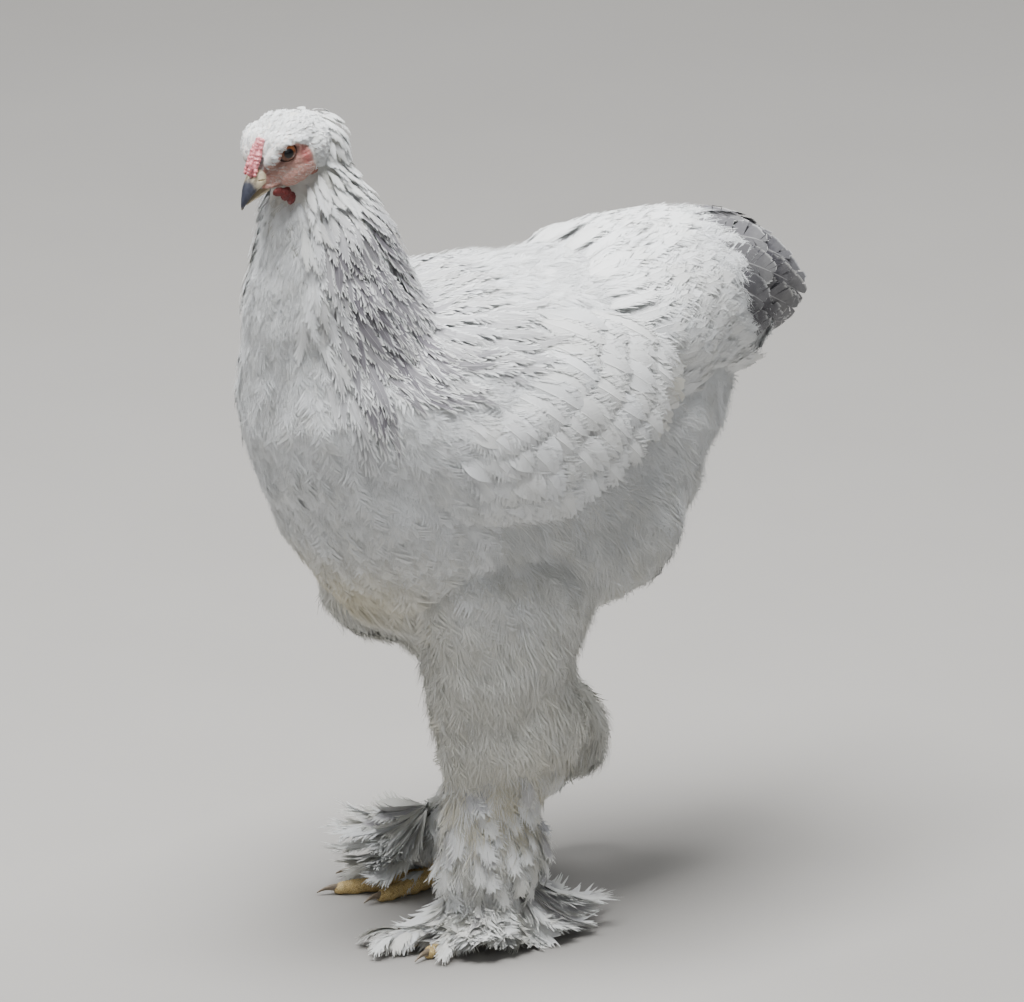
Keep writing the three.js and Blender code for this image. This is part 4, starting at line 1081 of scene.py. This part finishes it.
def beak_rings(rows, flat_over, flat_under):
    rings = []
    for y, top, bottom, half in smooth_rows(rows, 34):
        middle = bottom + (top - bottom) * (0.35 if flat_under < 1 else 0.6)
        tall = np.where(cosine > 0, (top - middle) * flat_over, (middle - bottom) * flat_under)
        ring = np.stack([half * power(sine, 0.9), np.full(SIDES, y), middle + tall * cosine], -1)
        rings.append(from_head(ring))
    return rings


def facing_out(piece):
    """Turns every face of a closed piece outwards."""
    only(piece)
    bpy.ops.object.mode_set(mode="EDIT")
    bpy.ops.mesh.select_all(action="SELECT")
    bpy.ops.mesh.normals_make_consistent(inside=False)
    bpy.ops.object.mode_set(mode="OBJECT")


def horn(name, tip_dark):
    """Horn: dark on the ridge and tip, paler and yellower down to the edge and back to the base."""
    finish = Finish(name, Roughness=0.32, Coat_Weight=0.25, Coat_Roughness=0.3)
    away = finish.distance_to(in_frame(from_head((0, -49, -6))))
    streaks = finish.noise(500.0, 4.0)
    pale = finish.mix(streaks, (0.50, 0.40, 0.24), (0.62, 0.56, 0.42))
    dark = finish.mix(streaks, (0.012, 0.013, 0.02), (0.05, 0.054, 0.075))
    edge = finish.soft_step(away + streaks * 0.004, 0.0095, 0.0165)
    colour = finish.mix(edge, dark, pale) if tip_dark else pale
    return finish.finished(Base_Color=colour, Normal=finish.bump(streaks, 0.0003, 0.4))


upper = loft("upper_beak", beak_rings(UPPER_BEAK, 1.0, 0.55))
lower = loft("lower_beak", beak_rings(LOWER_BEAK, 0.5, 1.0))
for side in (1, -1):
    slot = bulb((side * 7.0, -36.0, -2.4), (1.9, 3.0, 0.95), (-18, 0, -side * 14))
    finish_with(upper, "BOOLEAN", object=slot, operation="DIFFERENCE", solver="EXACT")
    bpy.data.objects.remove(slot)
for piece, node, dark in ((upper, "beak_upper", True), (lower, "beak_lower", False)):
    facing_out(piece)
    bpy.ops.object.shade_smooth_by_angle(angle=math.radians(40))
    piece.data.materials.append(horn(f"horn_{node}", dark))
    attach(piece, "root")
    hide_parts(node)

# Comb, wattles and ear lobes
# Soft bare skin. The red pea comb is three low rows of bulbs from the forehead to the beak. Each
# dark red wattle is small folds under the gape, and a brownish ear lobe lies behind each cheek.
def skin_bumps(finish, scale, low, high):
    """Fine bumps of bare skin, with painted highlights that make their tops paler."""
    grain = finish.noise(scale, 3.0)
    finish.finished(Base_Color=finish.mix(grain, low, high), Normal=finish.bump(grain, SKIN_BUMP))


SKIN_BUMP = 0.0004
red_finish = Finish("comb_skin", Roughness=0.42, Subsurface_Weight=0.2, Subsurface_Scale=0.003)
red_finish.shader.inputs["Subsurface Radius"].default_value = (1.0, 0.25, 0.2)
grain = red_finish.noise(1100.0, 3.0)
blush = red_finish.noise(260.0, 2.0)
red = red_finish.mix(blush, (0.42, 0.10, 0.12), (0.60, 0.22, 0.24))
# Painted highlights: the tops of the fine grain are paler.
red = red_finish.mix(grain * 0.25, red, (0.75, 0.40, 0.40))
red_finish.finished(Base_Color=red, Normal=red_finish.bump(grain, SKIN_BUMP))
dark_red = Finish("wattle_skin", Roughness=0.5, Subsurface_Weight=0.15, Subsurface_Scale=0.002)
skin_bumps(dark_red, 1000.0, (0.075, 0.007, 0.006), (0.19, 0.024, 0.022))
lobe_finish = Finish("ear_lobe_skin", Roughness=0.6)
skin_bumps(lobe_finish, 800.0, (0.24, 0.075, 0.05), (0.42, 0.20, 0.15))
COMB_MIDDLE, COMB_LEAN, COMB_HALF = np.array((0.3, -29.6, 10.4)), math.radians(44), 12.5
draw = np.random.default_rng(83)
comb_parts = [bulb(COMB_MIDDLE + (0, 0.5, -1.0), (3.7, 13.5, 2.4), (44, 0, 0))]
for x, count, size, up in ((0, 12, 1.7, 1.5), (2.9, 10, 1.5, 0.5), (-2.9, 10, 1.5, 0.5)):
    for i in range(count):
        share = (i + 0.5) / count * 2 - 1
        swell = size * (1.15 - 0.35 * share * share) * draw.uniform(0.85, 1.15)
        along = share * COMB_HALF
        at = COMB_MIDDLE + (
            x * (1.1 - 0.35 * share) + draw.normal(0, 0.25),
            along * math.cos(COMB_LEAN) - up * math.sin(COMB_LEAN),
            along * math.sin(COMB_LEAN) + up * math.cos(COMB_LEAN),
        )
        comb_parts.append(bulb(at, (swell, swell * 1.1, swell * 1.1)))
comb = fused("pea_comb", comb_parts, 0.35, 13)
wrinkled(comb, 1.8, 1.0)
comb.data.materials.append(red_finish.material)
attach(comb, "root")
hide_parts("comb")
for side, name in ((1, "left"), (-1, "right")):
    wattle = fused(f"wattle_{name}_folds", [
        bulb((side * 12.3, -29.0, -14.5), (2.0, 4.8, 3.0), (-24, 0, -side * 14)),
        bulb((side * 14.4, -25.5, -17.8), (2.3, 4.4, 4.6), (-36, 0, -side * 10)),
        bulb((side * 15.4, -23.0, -22.6), (2.1, 3.6, 4.2), (-40, 0, 0)),
    ], 0.4, 4)
    wrinkled(wattle, 1.3, 1.2)
    wattle.data.materials.append(dark_red.material)
    lobe = fused(f"ear_lobe_{name}", [
        bulb((side * 18.0, -2.0, -14.5), (1.5, 3.2, 2.8)), bulb((side * 17.6, 1.0, -16.0), (1.3, 2.8, 2.4)),
    ], 0.4, 3)
    wrinkled(lobe, 1.2, 0.6)
    lobe.data.materials.append(lobe_finish.material)
    for piece, node in ((wattle, f"wattle_{name}"), (lobe, f"earlobe_{name}")):
        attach(piece, "root")
        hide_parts(node)

# Wings
# The folded wing is soft coverts over its arm, which overhang the fluff below in a loose row. The
# worn ends of the flight feathers show behind them, stiff, a little stained, and greenish grey with painted
# shade.
FLIGHT_OUTLINE = [(0, 0.35), (0.15, 0.8), (0.4, 1.0), (0.85, 0.98), (0.95, 0.75), (1.0, 0.4)]
flight_vane = Vane(16, FLIGHT_OUTLINE, sweep=0.1, columns=3)
COVERT_OUTLINE = [(0, 0.5), (0.2, 0.85), (0.42, 1.0), (0.6, 0.9), (0.75, 0.62), (0.9, 0.2)]
covert_vane = Plume(26, COVERT_OUTLINE, sweep=0.36, firm=0.78, cells=10)
# Rows of feathers: count and height over the flank, then places along the row from its upper end,
# each with a root along and up, a tip along and up, and a half width.
FLIGHTS = [
    (6, 1.5, [(0, 0, 352, 96, 352, 8), (1, -20, 330, 66, 322, 8)]),
    (10, 5.0, [(0, 28, 396, 121, 380, 8), (0.5, 22, 382, 108, 356, 8.5), (1, 10, 366, 88, 336, 8.5)]),
]
COVERTS = [
    (21, 15.0, [(0, 70, 410, 106, 384, 9), (0.3, 56, 364, 86, 337, 11), (0.65, -6, 328, 22, 300, 12),
                (1, -60, 334, -38, 306, 11)]),
    (19, 17.0, [(0, 52, 416, 92, 394, 11), (0.3, 40, 380, 74, 351, 12), (0.65, -16, 346, 12, 314, 12),
                (1, -66, 350, -42, 320, 11)]),
    (17, 18.0, [(0, 34, 420, 74, 402, 11), (0.3, 20, 394, 58, 367, 13), (0.65, -32, 362, -2, 332, 13),
                (1, -70, 366, -46, 336, 11)]),
    (15, 18.5, [(0, 14, 424, 54, 410, 11), (0.3, 0, 406, 38, 382, 13), (0.65, -46, 376, -16, 350, 13),
                (1, -72, 380, -48, 354, 11)]),
]


def wing_rows(side, rows_of, vane, draw, arch, sunk, camber, soft):
    """Feathers of several rows on the side of the wing, the first row lowest."""
    all_points = []
    for count, over, rows in rows_of:
        rows = np.array(rows, float)
        root_y, root_z, tip_y, tip_z, half = row_at(rows, np.linspace(0, 1, count))
        root_y, root_z = root_y + draw.normal(0, 2, count), root_z + draw.normal(0, 2, count)
        tip_y, tip_z = tip_y + draw.normal(0, 2, count), tip_z + draw.normal(0, 2, count)
        shares = np.linspace(0, 1, 12)[None]
        y = root_y[:, None] + (tip_y - root_y)[:, None] * shares
        z = root_z[:, None] + (tip_z - root_z)[:, None] * shares + arch * np.sin(math.pi * shares)
        above = over + draw.uniform(0, 0.9, count)[:, None]
        above = above - sunk * (1 - shares) ** 2 - 3.5 * shares ** 3
        above = above - 9 * np.clip((-20 - y) / 50, 0, 1)      # closed over the wing's front
        shafts = np.stack([side * (flank(y, z) + above), y, z], -1)
        e = 4.0
        slope_y = (flank(y + e, z) - flank(y - e, z)) / (2 * e)
        slope_z = (flank(y, z + e) - flank(y, z - e)) / (2 * e)
        outs = unit(np.stack([np.full(y.shape, side), -slope_y, -slope_z], -1))
        grow = vane.soft if soft else vane.grown
        loose = {"puff": 0.07} if soft else {}
        all_points.append(grow(shafts, outs, half, draw, camber=camber, roll=-side * 0.08, **loose))
    return np.concatenate(all_points)


draw = np.random.default_rng(41)
for side, name in ((1, "left"), (-1, "right")):
    points = wing_rows(side, FLIGHTS, flight_vane, draw, 4, 5, 0.08, False)
    count = len(points)
    # Painted shade: the flight feathers get more of it than the coverts over them.
    tones = toned(count, draw.uniform(0.1, 0.35, count), draw.uniform(0.15, 0.45, count))
    plumes(f"flight_feathers_{name}", flight_vane, points, tones, white_plumage, spots(points[:, 0]))
    points = wing_rows(side, COVERTS, covert_vane, draw, 2, 14, 0.12, True)
    count = len(points)
    tones = toned(count, draw.normal(0.08, 0.06, count), draw.uniform(0.0, 0.15, count))
    plumes(f"wing_coverts_{name}", covert_vane, points, tones, white_plumage, spots(points[:, 0]))

# Tail
# A short full tail: three tiers of broad grey feathers nearly all round it, arched and drooping,
# the lower ones closing over its end, on a core of grey down. Their tips are worn pale.
TAIL = np.array([
    (135, 438, 392, 36), (160, 445, 356, 42), (190, 442, 338, 46), (215, 435, 332, 44), (235, 422, 334, 40),
    (250, 405, 340, 37), (260, 392, 346, 34),
], float)
TAIL_TIERS = [
    # count, root at top and side, tip at top and side, half widths, depth inside, angles from the top
    (10, (150, 180), (250, 226), (11.5, 13.5), 6.6, (4, 178)),
    (9, (144, 178), (236, 214), (12, 14), 3.4, (12, 172)),
    (8, (138, 174), (216, 200), (12, 14), 0.2, (3, 166)),
]
TAIL_DROOP = 17.0


def on_shell(rows, y, angle, over):
    """Places on a tube of the body, at angles from its top and over it, and the ways out of it."""
    top, bottom, half = row_at(rows, y)
    middle, tall = (top + bottom) / 2, (top - bottom) / 2
    out = unit(np.stack([np.sin(angle) / half, 0 * y, np.cos(angle) / tall], -1))
    at = np.stack([half * np.sin(angle), y, middle + tall * np.cos(angle)], -1)
    return at + out * over[..., None], out


tail_core_rings = []
for y in np.linspace(140, 228, 16):
    sunk = np.full(SIDES, 10.5 + 10 * max(0, (y - 195) / 33))
    tail_core_rings.append(on_shell(TAIL, np.full(SIDES, y), around, -sunk)[0])
tail_core = loft("tail_core", tail_core_rings)
core_finish = Finish("grey_down", Roughness=0.85)
down = core_finish.noise(260.0, 3.0)
grey_down = core_finish.mix(down, (0.10, 0.10, 0.11), (0.2, 0.2, 0.21))
tail_core.data.materials.append(core_finish.finished(Base_Color=grey_down))
finish_with(tail_core, "SUBSURF", levels=1, render_levels=1)
bpy.ops.object.shade_smooth()
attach(tail_core, "root")

grey_plumage = plumage("grey_plumage", (0.9, 1.2), (0.034, 0.032, 0.04), worn=0.1, tip_white=0.1)
TAIL_OUTLINE = [(0, 0.4), (0.15, 0.8), (0.4, 1.0), (0.72, 0.97), (0.86, 0.8), (0.95, 0.52), (1.0, 0.2)]
tail_vane = Vane(24, TAIL_OUTLINE, sweep=0.1, columns=3)
draw = np.random.default_rng(53)
tail_points = []
for count, root, tip, half, inside, angles in TAIL_TIERS:
    for side in (1, -1):
        share = np.linspace(0, 1, count)
        degrees = angles[0] + (angles[1] - angles[0]) * share + draw.normal(0, 2, count)
        angle = np.radians(degrees)[:, None] * side
        starts = root[0] + (root[1] - root[0]) * share
        ends = (tip[0] + (tip[1] - tip[0]) * share) + draw.normal(0, 3.5, count)
        shares = np.linspace(0, 1, 14)[None]
        y = starts[:, None] + (ends - starts)[:, None] * shares
        depth = inside + 4 * (1 - shares) ** 2 + draw.uniform(0, 1.2, count)[:, None]
        depth = depth + 26 * np.clip((np.abs(angle) - 1.5) / 1.4, 0, 1) * shares ** 2
        droop = side * math.radians(TAIL_DROOP) * np.sin(np.abs(angle)) * shares ** 2
        shafts, outs = on_shell(TAIL, y, angle + droop, -depth)
        widths = (half[0] + (half[1] - half[0]) * share) * draw.normal(1, 0.05, count)
        grown = tail_vane.grown(shafts, outs, widths, draw, 0.06, ragged=0.014, roll=-side * 0.12)
        tail_points.append(grown)
points = np.concatenate(tail_points)
count = len(points)
tones = toned(count, draw.uniform(0.0, 0.25, count), draw.uniform(0, 0.25, count),
              draw.uniform(0.85, 1, count))
plumes("tail_feathers", tail_vane, points, tones, grey_plumage, spots(points[:, 0]))
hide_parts("tail")

# Cushion
# Long soft white feathers spring from the back and the sides of the rump and lie in rows over the
# roots of the tail, further down at the sides than on top.
cushion_vane = Plume(24, SOFT_OUTLINE, sweep=0.4, firm=0.72, cells=8)
CUSHION_ROWS, ROW_COUNT = 6, 36
draw = np.random.default_rng(57)
cushion_points = []
for row in range(CUSHION_ROWS):
    count = ROW_COUNT
    angle = np.radians(np.linspace(-128, 128, count) + draw.normal(0, 2.5, count))
    ends = np.interp(np.abs(np.degrees(angle)), (0, 35, 60, 90, 128), (168, 160, 172, 194, 204))
    ends = ends - 11 * row + draw.normal(0, 4, count)
    starts = ends - draw.uniform(38, 50, count)
    shares = np.linspace(0, 1, 9)[None]
    y = starts[:, None] + (ends - starts)[:, None] * shares
    over = 1.0 + 0.6 * row - (11 + row) * (1 - shares) ** 1.5
    over = over + draw.uniform(0, 1.3, count)[:, None] * shares
    over = over - 2.6 * shares ** 3
    shafts, outs = on_shell(CUSHION, y, angle[:, None] * (1 + 0.06 * shares ** 2), over)
    halves, rolls = draw.uniform(8.5, 11.5, count), draw.normal(0, 0.06, count)
    cushion_points.append(cushion_vane.soft(shafts, outs, halves, draw, puff=0.07, roll=rolls))
points = np.concatenate(cushion_points)
count = len(points)
tones = toned(count, draw.normal(0.08, 0.08, count), draw.uniform(0, 0.15, count))
plumes("cushion_feathers", cushion_vane, points, tones, white_plumage, spots(points[:, 0]))

# Fluff
# Under the wing, behind and below, the coat is loose down: tufts of long thin barbs that spread
# from one root, lie down and back, and stand out a little. Finer and shorter tufts break up the
# ends of the body feathers all over.
tuft, fringe = Tuft(9, cells=3, thin=0.05), Tuft(7, cells=2, thin=0.045)
FLUFF_SPACING, FRINGE_SPACING = 5.0, 4.3


def on_fluff(points):
    _, y, z = points.T
    behind = (z < 345) & (y > -30)
    return (z > 60) & (behind | (z < 235))


def on_fringe(points):
    off_head = np.linalg.norm(to_head(points), axis=1) > 36
    return (points[:, 2] > 118) & off_head & ~on_hackle(points)


draw = np.random.default_rng(67)
roots = ground.scatter(17, FRINGE_SPACING, on_fringe)
count = len(roots)
neck_share = np.clip((roots[:, 2] - 400) / 130, 0, 1)
lengths = draw.uniform(11, 18, count) * (1 - 0.35 * neck_share)
lift = draw.uniform(1.6, 3.2, count)
rise = lambda share: 1.0 + lift * share
shafts, outs = lay(ground, roots, lengths, coat_lie, 4, rise, draw.normal(0, 0.22, count))
points = fringe.puffed(shafts, outs, draw.uniform(3, 5.5, count), draw, 1.1)
tones = toned(count, draw.normal(0.03, 0.06, count) + low_shade(roots),
              warmth_at(roots) + draw.normal(0, 0.06, count))
plumes("breast_fringe", fringe, points, tones, white_plumage, spots(roots))

draw = np.random.default_rng(61)
roots = ground.scatter(9, FLUFF_SPACING, on_fluff)
count = len(roots)
lengths = draw.uniform(17, 27, count)
lift = draw.uniform(3.0, 6.5, count)
rise = lambda share: 0.5 + lift * share
shafts, outs = lay(ground, roots, lengths, coat_lie, 5, rise, draw.normal(0, 0.3, count))
points = tuft.puffed(shafts, outs, draw.uniform(4.5, 8, count), draw, 2.4)
tones = toned(count, draw.normal(0.08, 0.1, count) + low_shade(roots),
              warmth_at(roots) + draw.normal(0, 0.08, count))
plumes("fluff", tuft, points, tones, white_plumage, spots(roots))

# Shank and foot feathers
# Both shanks are feathered to the toes: soft short feathers all round, grey in places, and at the
# ankle a fan of longer, stiffer ones with worn ends that spreads outwards, back and over the toes.
# Of a foot: its side, place, turn, and its fan as angle from the front, reach and tip height.
FEET = {
    "left": (1, (45, -14), -12, [
        (5, 62, 6), (30, 56, 7), (62, 54, 12), (84, 50, 8), (106, 46, 5), (128, 46, 4), (150, 68, 6),
        (174, 90, 14), (190, 52, 10),
    ]),
    "right": (-1, (-45, 14), 22, [
        (24, 60, 14), (38, 68, 20), (52, 72, 26), (66, 74, 44), (86, 60, 26), (108, 54, 8), (136, 52, 6),
        (170, 50, 8),
    ]),
}
FAN_COUNT, FAN_OUT, FAN_UP = 110, 10.0, 46.0
SHANK_DOWN_SPACING, SHANK_SPACING = 4.6, 10.5
FLOOR_CLEAR = 0.8
foot_vane = Plume(18, SOFT_OUTLINE, sweep=0.4, firm=0.6)
foot_plumage = plumage("foot_plumage", (0.5, 0.95), (0.16, 0.15, 0.175), worn=0.6)
shank_tuft = Tuft(7, cells=3, thin=0.07)


def on_shank(points):
    x, y, z = points.T
    return (z < 122) & (z > 20) & ((x > 0) | (y < 105))


def off_floor(points):
    points[..., 2] = np.maximum(points[..., 2], FLOOR_CLEAR)
    return points


def some_grey(draw, count, share, low, high, others=0.0):
    """Grey of low to high on a share of the feathers."""
    return np.where(draw.random(count) < share, draw.uniform(low, high, count), others)


def on_legs(points):
    """Spots round the legs' own upright axis."""
    return spots(points, (0, 0, 20), (0, 20, 120))


draw = np.random.default_rng(71)
roots = ground.scatter(13, SHANK_DOWN_SPACING, on_shank)
count = len(roots)
lengths = draw.uniform(13, 23, count)
low_share = np.clip((90 - roots[:, 2]) / 70, 0, 1)
lift = draw.uniform(3, 7, count) + 3 * low_share
rise = lambda share: 0.5 + lift * share ** 1.2
shafts, outs = lay(ground, roots, lengths, coat_lie, 5, rise, draw.normal(0, 0.35, count))
points = off_floor(shank_tuft.puffed(shafts, outs, draw.uniform(3.5, 6, count), draw, 2.2))
tones = toned(count, draw.normal(0.15, 0.12, count), draw.uniform(0, 0.3, count),
              some_grey(draw, count, 0.3, 0.1, 0.5))
plumes("shank_down", shank_tuft, points, tones, foot_plumage, on_legs(roots))

roots = ground.scatter(14, SHANK_SPACING, on_shank)
count = len(roots)
lift = draw.uniform(5, 9, count)
lengths = draw.uniform(20, 30, count)
shafts, outs = lay(ground, roots, lengths, coat_lie, 7, rise, draw.normal(0, 0.3, count))
halves, rolls = draw.uniform(5, 7.5, count), draw.normal(0, 0.2, count)
points = off_floor(foot_vane.soft(shafts, outs, halves, draw, puff=0.15, roll=rolls))
tones = toned(count, draw.normal(0.1, 0.1, count), draw.uniform(0, 0.3, count),
              some_grey(draw, count, 0.35, 0.15, 0.6))
plumes("shank_feathers", foot_vane, points, tones, foot_plumage, on_legs(roots))

for name, (side, place, turn, fan) in FEET.items():
    fan = np.array(fan, float)
    count = FAN_COUNT
    degrees = draw.uniform(fan[0, 0], fan[-1, 0], count)
    degrees[: len(fan)] = fan[:, 0]
    reach, tip_up = row_at(fan, degrees)
    level = draw.uniform(0, 1, count) ** 0.8
    level[: len(fan)] = 0
    reach = reach * (1 - 0.42 * level) + draw.normal(0, 2.5, count)
    tip_up = np.maximum(tip_up + 9 * level + draw.normal(0, 2.5, count), 2.0)
    angle = np.radians(side * (degrees + side * turn))
    shares = np.linspace(0, 1, 9)
    bend = draw.normal(0, 0.16, count)[:, None] * shares ** 2
    way = np.stack([np.sin(angle[:, None] + bend), -np.cos(angle[:, None] + bend), 0 * bend], -1)
    out = FAN_OUT + (reach[:, None] - FAN_OUT) * shares
    high = FAN_UP + 10 * level[:, None]
    up = high + (tip_up[:, None] - high) * np.sin(shares * math.pi / 2)
    curl = draw.uniform(0, 5, count)[:, None] * shares ** 4
    upward = np.array((0, 0, 1.0))
    shafts = np.array([*place, 0.0]) + way * out[..., None] + upward * (up + curl)[..., None]
    outs = unit(way * (0.6 * (1 - shares))[None, :, None] + upward)
    halves, rolls = draw.uniform(7, 12, count), draw.normal(0, 0.5, count)
    points = off_floor(foot_vane.soft(shafts, outs, halves, draw, camber=0.15, roll=rolls))
    tones = toned(count, draw.normal(0.12, 0.1, count), draw.uniform(0.05, 0.35, count),
                  some_grey(draw, count, 0.25, 0.2, 0.7, 0.03))
    plumes(f"foot_feathers_{name}", foot_vane, points, tones, foot_plumage, spots(shafts[:, 0]))

# Toes and claws
# Three toes forward and one back on each foot, yellow, with a row of overlapping scutes on top and
# pads below, joined with the ball of the foot into one skin. Each ends in a dark horn claw.
TOES = {"inner": (-24, 50), "middle": (0, 70), "outer": (27, 58), "hind": (168, 27)}
TOE_START, TOE_START_UP, TOE_R, TOE_END_R = 5.0, 8, 6.4, 4.2
SCUTE, TOE_SIDES = 3.4, 24
CLAW_LENGTH, CLAW_R, CLAW_TIP_R = 13.0, 3.1, 0.35
TOE_FEATHERS = {
    # of each toe: count, first and last place along it
    "left": {"inner": (9, 0.3, 1.0), "middle": (20, 0.3, 1.34), "outer": (18, 0.3, 1.05)},
    "right": {"middle": (3, 0.25, 0.6), "outer": (18, 0.3, 1.1)},
}


def on_foot(points, foot, toe_turn):
    """Places in a toe's own frame, turned with the toe and the foot and set on the floor."""
    side, place, foot_turn, _ = FEET[foot]
    angle = math.radians(side * (toe_turn + foot_turn))
    c, s = math.cos(angle), math.sin(angle)
    turn = np.array(((c, -s, 0), (s, c, 0), (0, 0, 1)))
    return np.asarray(points, float) @ turn.T + (*place, 0)


def toe_up(share):
    """Height of the middle of a toe."""
    return TOE_START_UP + (TOE_END_R - 0.6 - TOE_START_UP) * np.sqrt(share)


toe_finish = Finish("toe_scutes", Roughness=0.5, Coat_Weight=0.12, Coat_Roughness=0.4)
scales = toe_finish.node("ShaderNodeTexVoronoi", {"feature": "DISTANCE_TO_EDGE"},
                         {"Vector": toe_finish.place(), "Scale": 900.0})
dirt = toe_finish.noise(300.0, 4.0)
yellow = toe_finish.mix(dirt, (0.62, 0.42, 0.13), (0.80, 0.66, 0.34))
creased = toe_finish.mix(1 - toe_finish.soft_step(scales, 0.0, 0.12), yellow, (0.36, 0.22, 0.08))
raised = toe_finish.soft_step(scales, 0.0, 0.2)
toe_finish.finished(Base_Color=creased, Normal=toe_finish.bump(raised, 0.0004, 0.5))
claw_finish = Finish("claw_horn", Roughness=0.35, Coat_Weight=0.2, Coat_Roughness=0.3)
streaks = claw_finish.noise(600.0, 4.0)
claw_colour = claw_finish.mix(streaks, (0.10, 0.075, 0.05), (0.30, 0.24, 0.17))
claw_finish.finished(Base_Color=claw_colour, Normal=claw_finish.bump(streaks, 0.0003, 0.4))
ring_angle = np.linspace(0, 2 * math.pi, TOE_SIDES, endpoint=False)
draw = np.random.default_rng(91)
for foot in FEET:
    parts = []
    for toe, (toe_turn, length) in TOES.items():
        rings = []
        for share in np.linspace(0, 1, int(length / 0.55)):
            along = TOE_START + (length + 1 - TOE_START) * share
            knuckle = 0.55 * math.cos(5 * math.pi * share) * (1 - 0.6 * share)
            radius = TOE_R + (TOE_END_R - TOE_R) * share + knuckle
            radius *= min(1.0, 0.55 + (1 - share) * 8)
            scute = 0.55 * (1 - (along / SCUTE) % 1.0) - 0.3
            top = np.clip(np.cos(ring_angle) * 1.6, 0, 1)
            pad = 0.6 * np.clip(-np.cos(ring_angle), 0, 1) * math.cos(10 * math.pi * share)
            reach = radius + scute * top + pad
            rings.append(np.stack([
                reach * np.sin(ring_angle), np.full(TOE_SIDES, -along),
                np.maximum(toe_up(share) + reach * np.cos(ring_angle), 0.15),
            ], -1))
        parts.append(loft(f"{toe}_toe", on_foot(np.array(rings), foot, toe_turn)))
    ball_rings = []
    for a in np.linspace(0.05, math.pi * 0.93, 18):
        half, up = 12.3 * math.sin(a), max(0.15, 11 + 13.8 * math.cos(a))
        ball_rings.append(np.stack([
            half * np.sin(ring_angle), 2 - half * np.cos(ring_angle), np.full(TOE_SIDES, up),
        ], -1))
    parts.append(loft("foot_ball", on_foot(np.array(ball_rings), foot, 0)[:, ::-1]))
    for part in parts:
        facing_out(part)
    foot_skin = fused(f"foot_skin_{foot}", parts, 0.5, 1)
    foot_skin.data.materials.clear()
    foot_skin.data.materials.append(toe_finish.material)
    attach(foot_skin, "root")
    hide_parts(f"foot_{foot}", *[f"toe_{toe}_{foot}" for toe in TOES])
    for toe, (toe_turn, length) in TOES.items():
        rings = []
        for share in np.linspace(0, 1, 22):
            radius = CLAW_R + (CLAW_TIP_R - CLAW_R) * share ** 0.8
            along = length - 2 + (CLAW_LENGTH + 1.5) * share
            up = TOE_END_R - 0.2 + 1.6 * math.sin(0.75 * math.pi * share) - 3.2 * share ** 2
            rings.append(np.stack([
                radius * 0.86 * np.sin(ring_angle), np.full(TOE_SIDES, -along),
                np.maximum(up + radius * 1.05 * np.cos(ring_angle), 0.1),
            ], -1))
        claw = loft(f"{toe}_claw_{foot}", on_foot(np.array(rings), foot, toe_turn))
        facing_out(claw)
        bpy.ops.object.shade_smooth()
        claw.data.materials.append(claw_finish.material)
        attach(claw, "root")
        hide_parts(f"claw_{toe}_{foot}")

# Toe feathers
# Feathers leave the back of the toes to both sides and end on the floor, hiding most of the toes.
for foot, toes in TOE_FEATHERS.items():
    side, place, _, _ = FEET[foot]
    all_shafts, all_outs = [], []
    for toe, (count, first, last) in toes.items():
        toe_turn, length = TOES[toe]
        start = length * draw.uniform(first - 0.12, last - 0.42, count)
        lean = side * np.where(draw.random(count) < 0.65, 1, -1)
        long = draw.uniform(20, 32, count)
        spread = draw.uniform(7, 17, count)
        shares = np.linspace(0, 1, 8)[None]
        begin = toe_up(np.clip(start / length, 0, 1)) + TOE_R - 1.0
        x = lean[:, None] * (1.0 + spread[:, None] * shares ** 0.8)
        y = -start[:, None] - long[:, None] * shares
        z = begin[:, None] + 3.5 * np.sin(math.pi * shares)
        z = z - (begin[:, None] - 2.5) * shares ** 1.5
        z = z + draw.uniform(0, 2.5, count)[:, None] * shares
        tilt = lean[:, None] * (0.3 + 0.3 * shares)
        all_shafts.append(on_foot(np.stack([x, y, z], -1), foot, toe_turn))
        up = unit(np.stack([tilt, -0.2 + 0 * tilt, 1 + 0 * tilt], -1))
        all_outs.append(on_foot(up, foot, toe_turn) - (*place, 0))
    shafts, outs = np.concatenate(all_shafts), np.concatenate(all_outs)
    count = len(shafts)
    halves, rolls = draw.uniform(4.5, 7.5, count), draw.normal(0, 0.2, count)
    points = foot_vane.soft(shafts, outs, halves, draw, camber=0.15, puff=0.15, roll=rolls)
    points = off_floor(points)
    tones = toned(count, draw.normal(0.1, 0.1, count), draw.uniform(0.05, 0.35, count),
                  some_grey(draw, count, 0.3, 0.2, 0.7))
    plumes(f"toe_feathers_{foot}", foot_vane, points, tones, foot_plumage, spots(shafts[:, 0]))
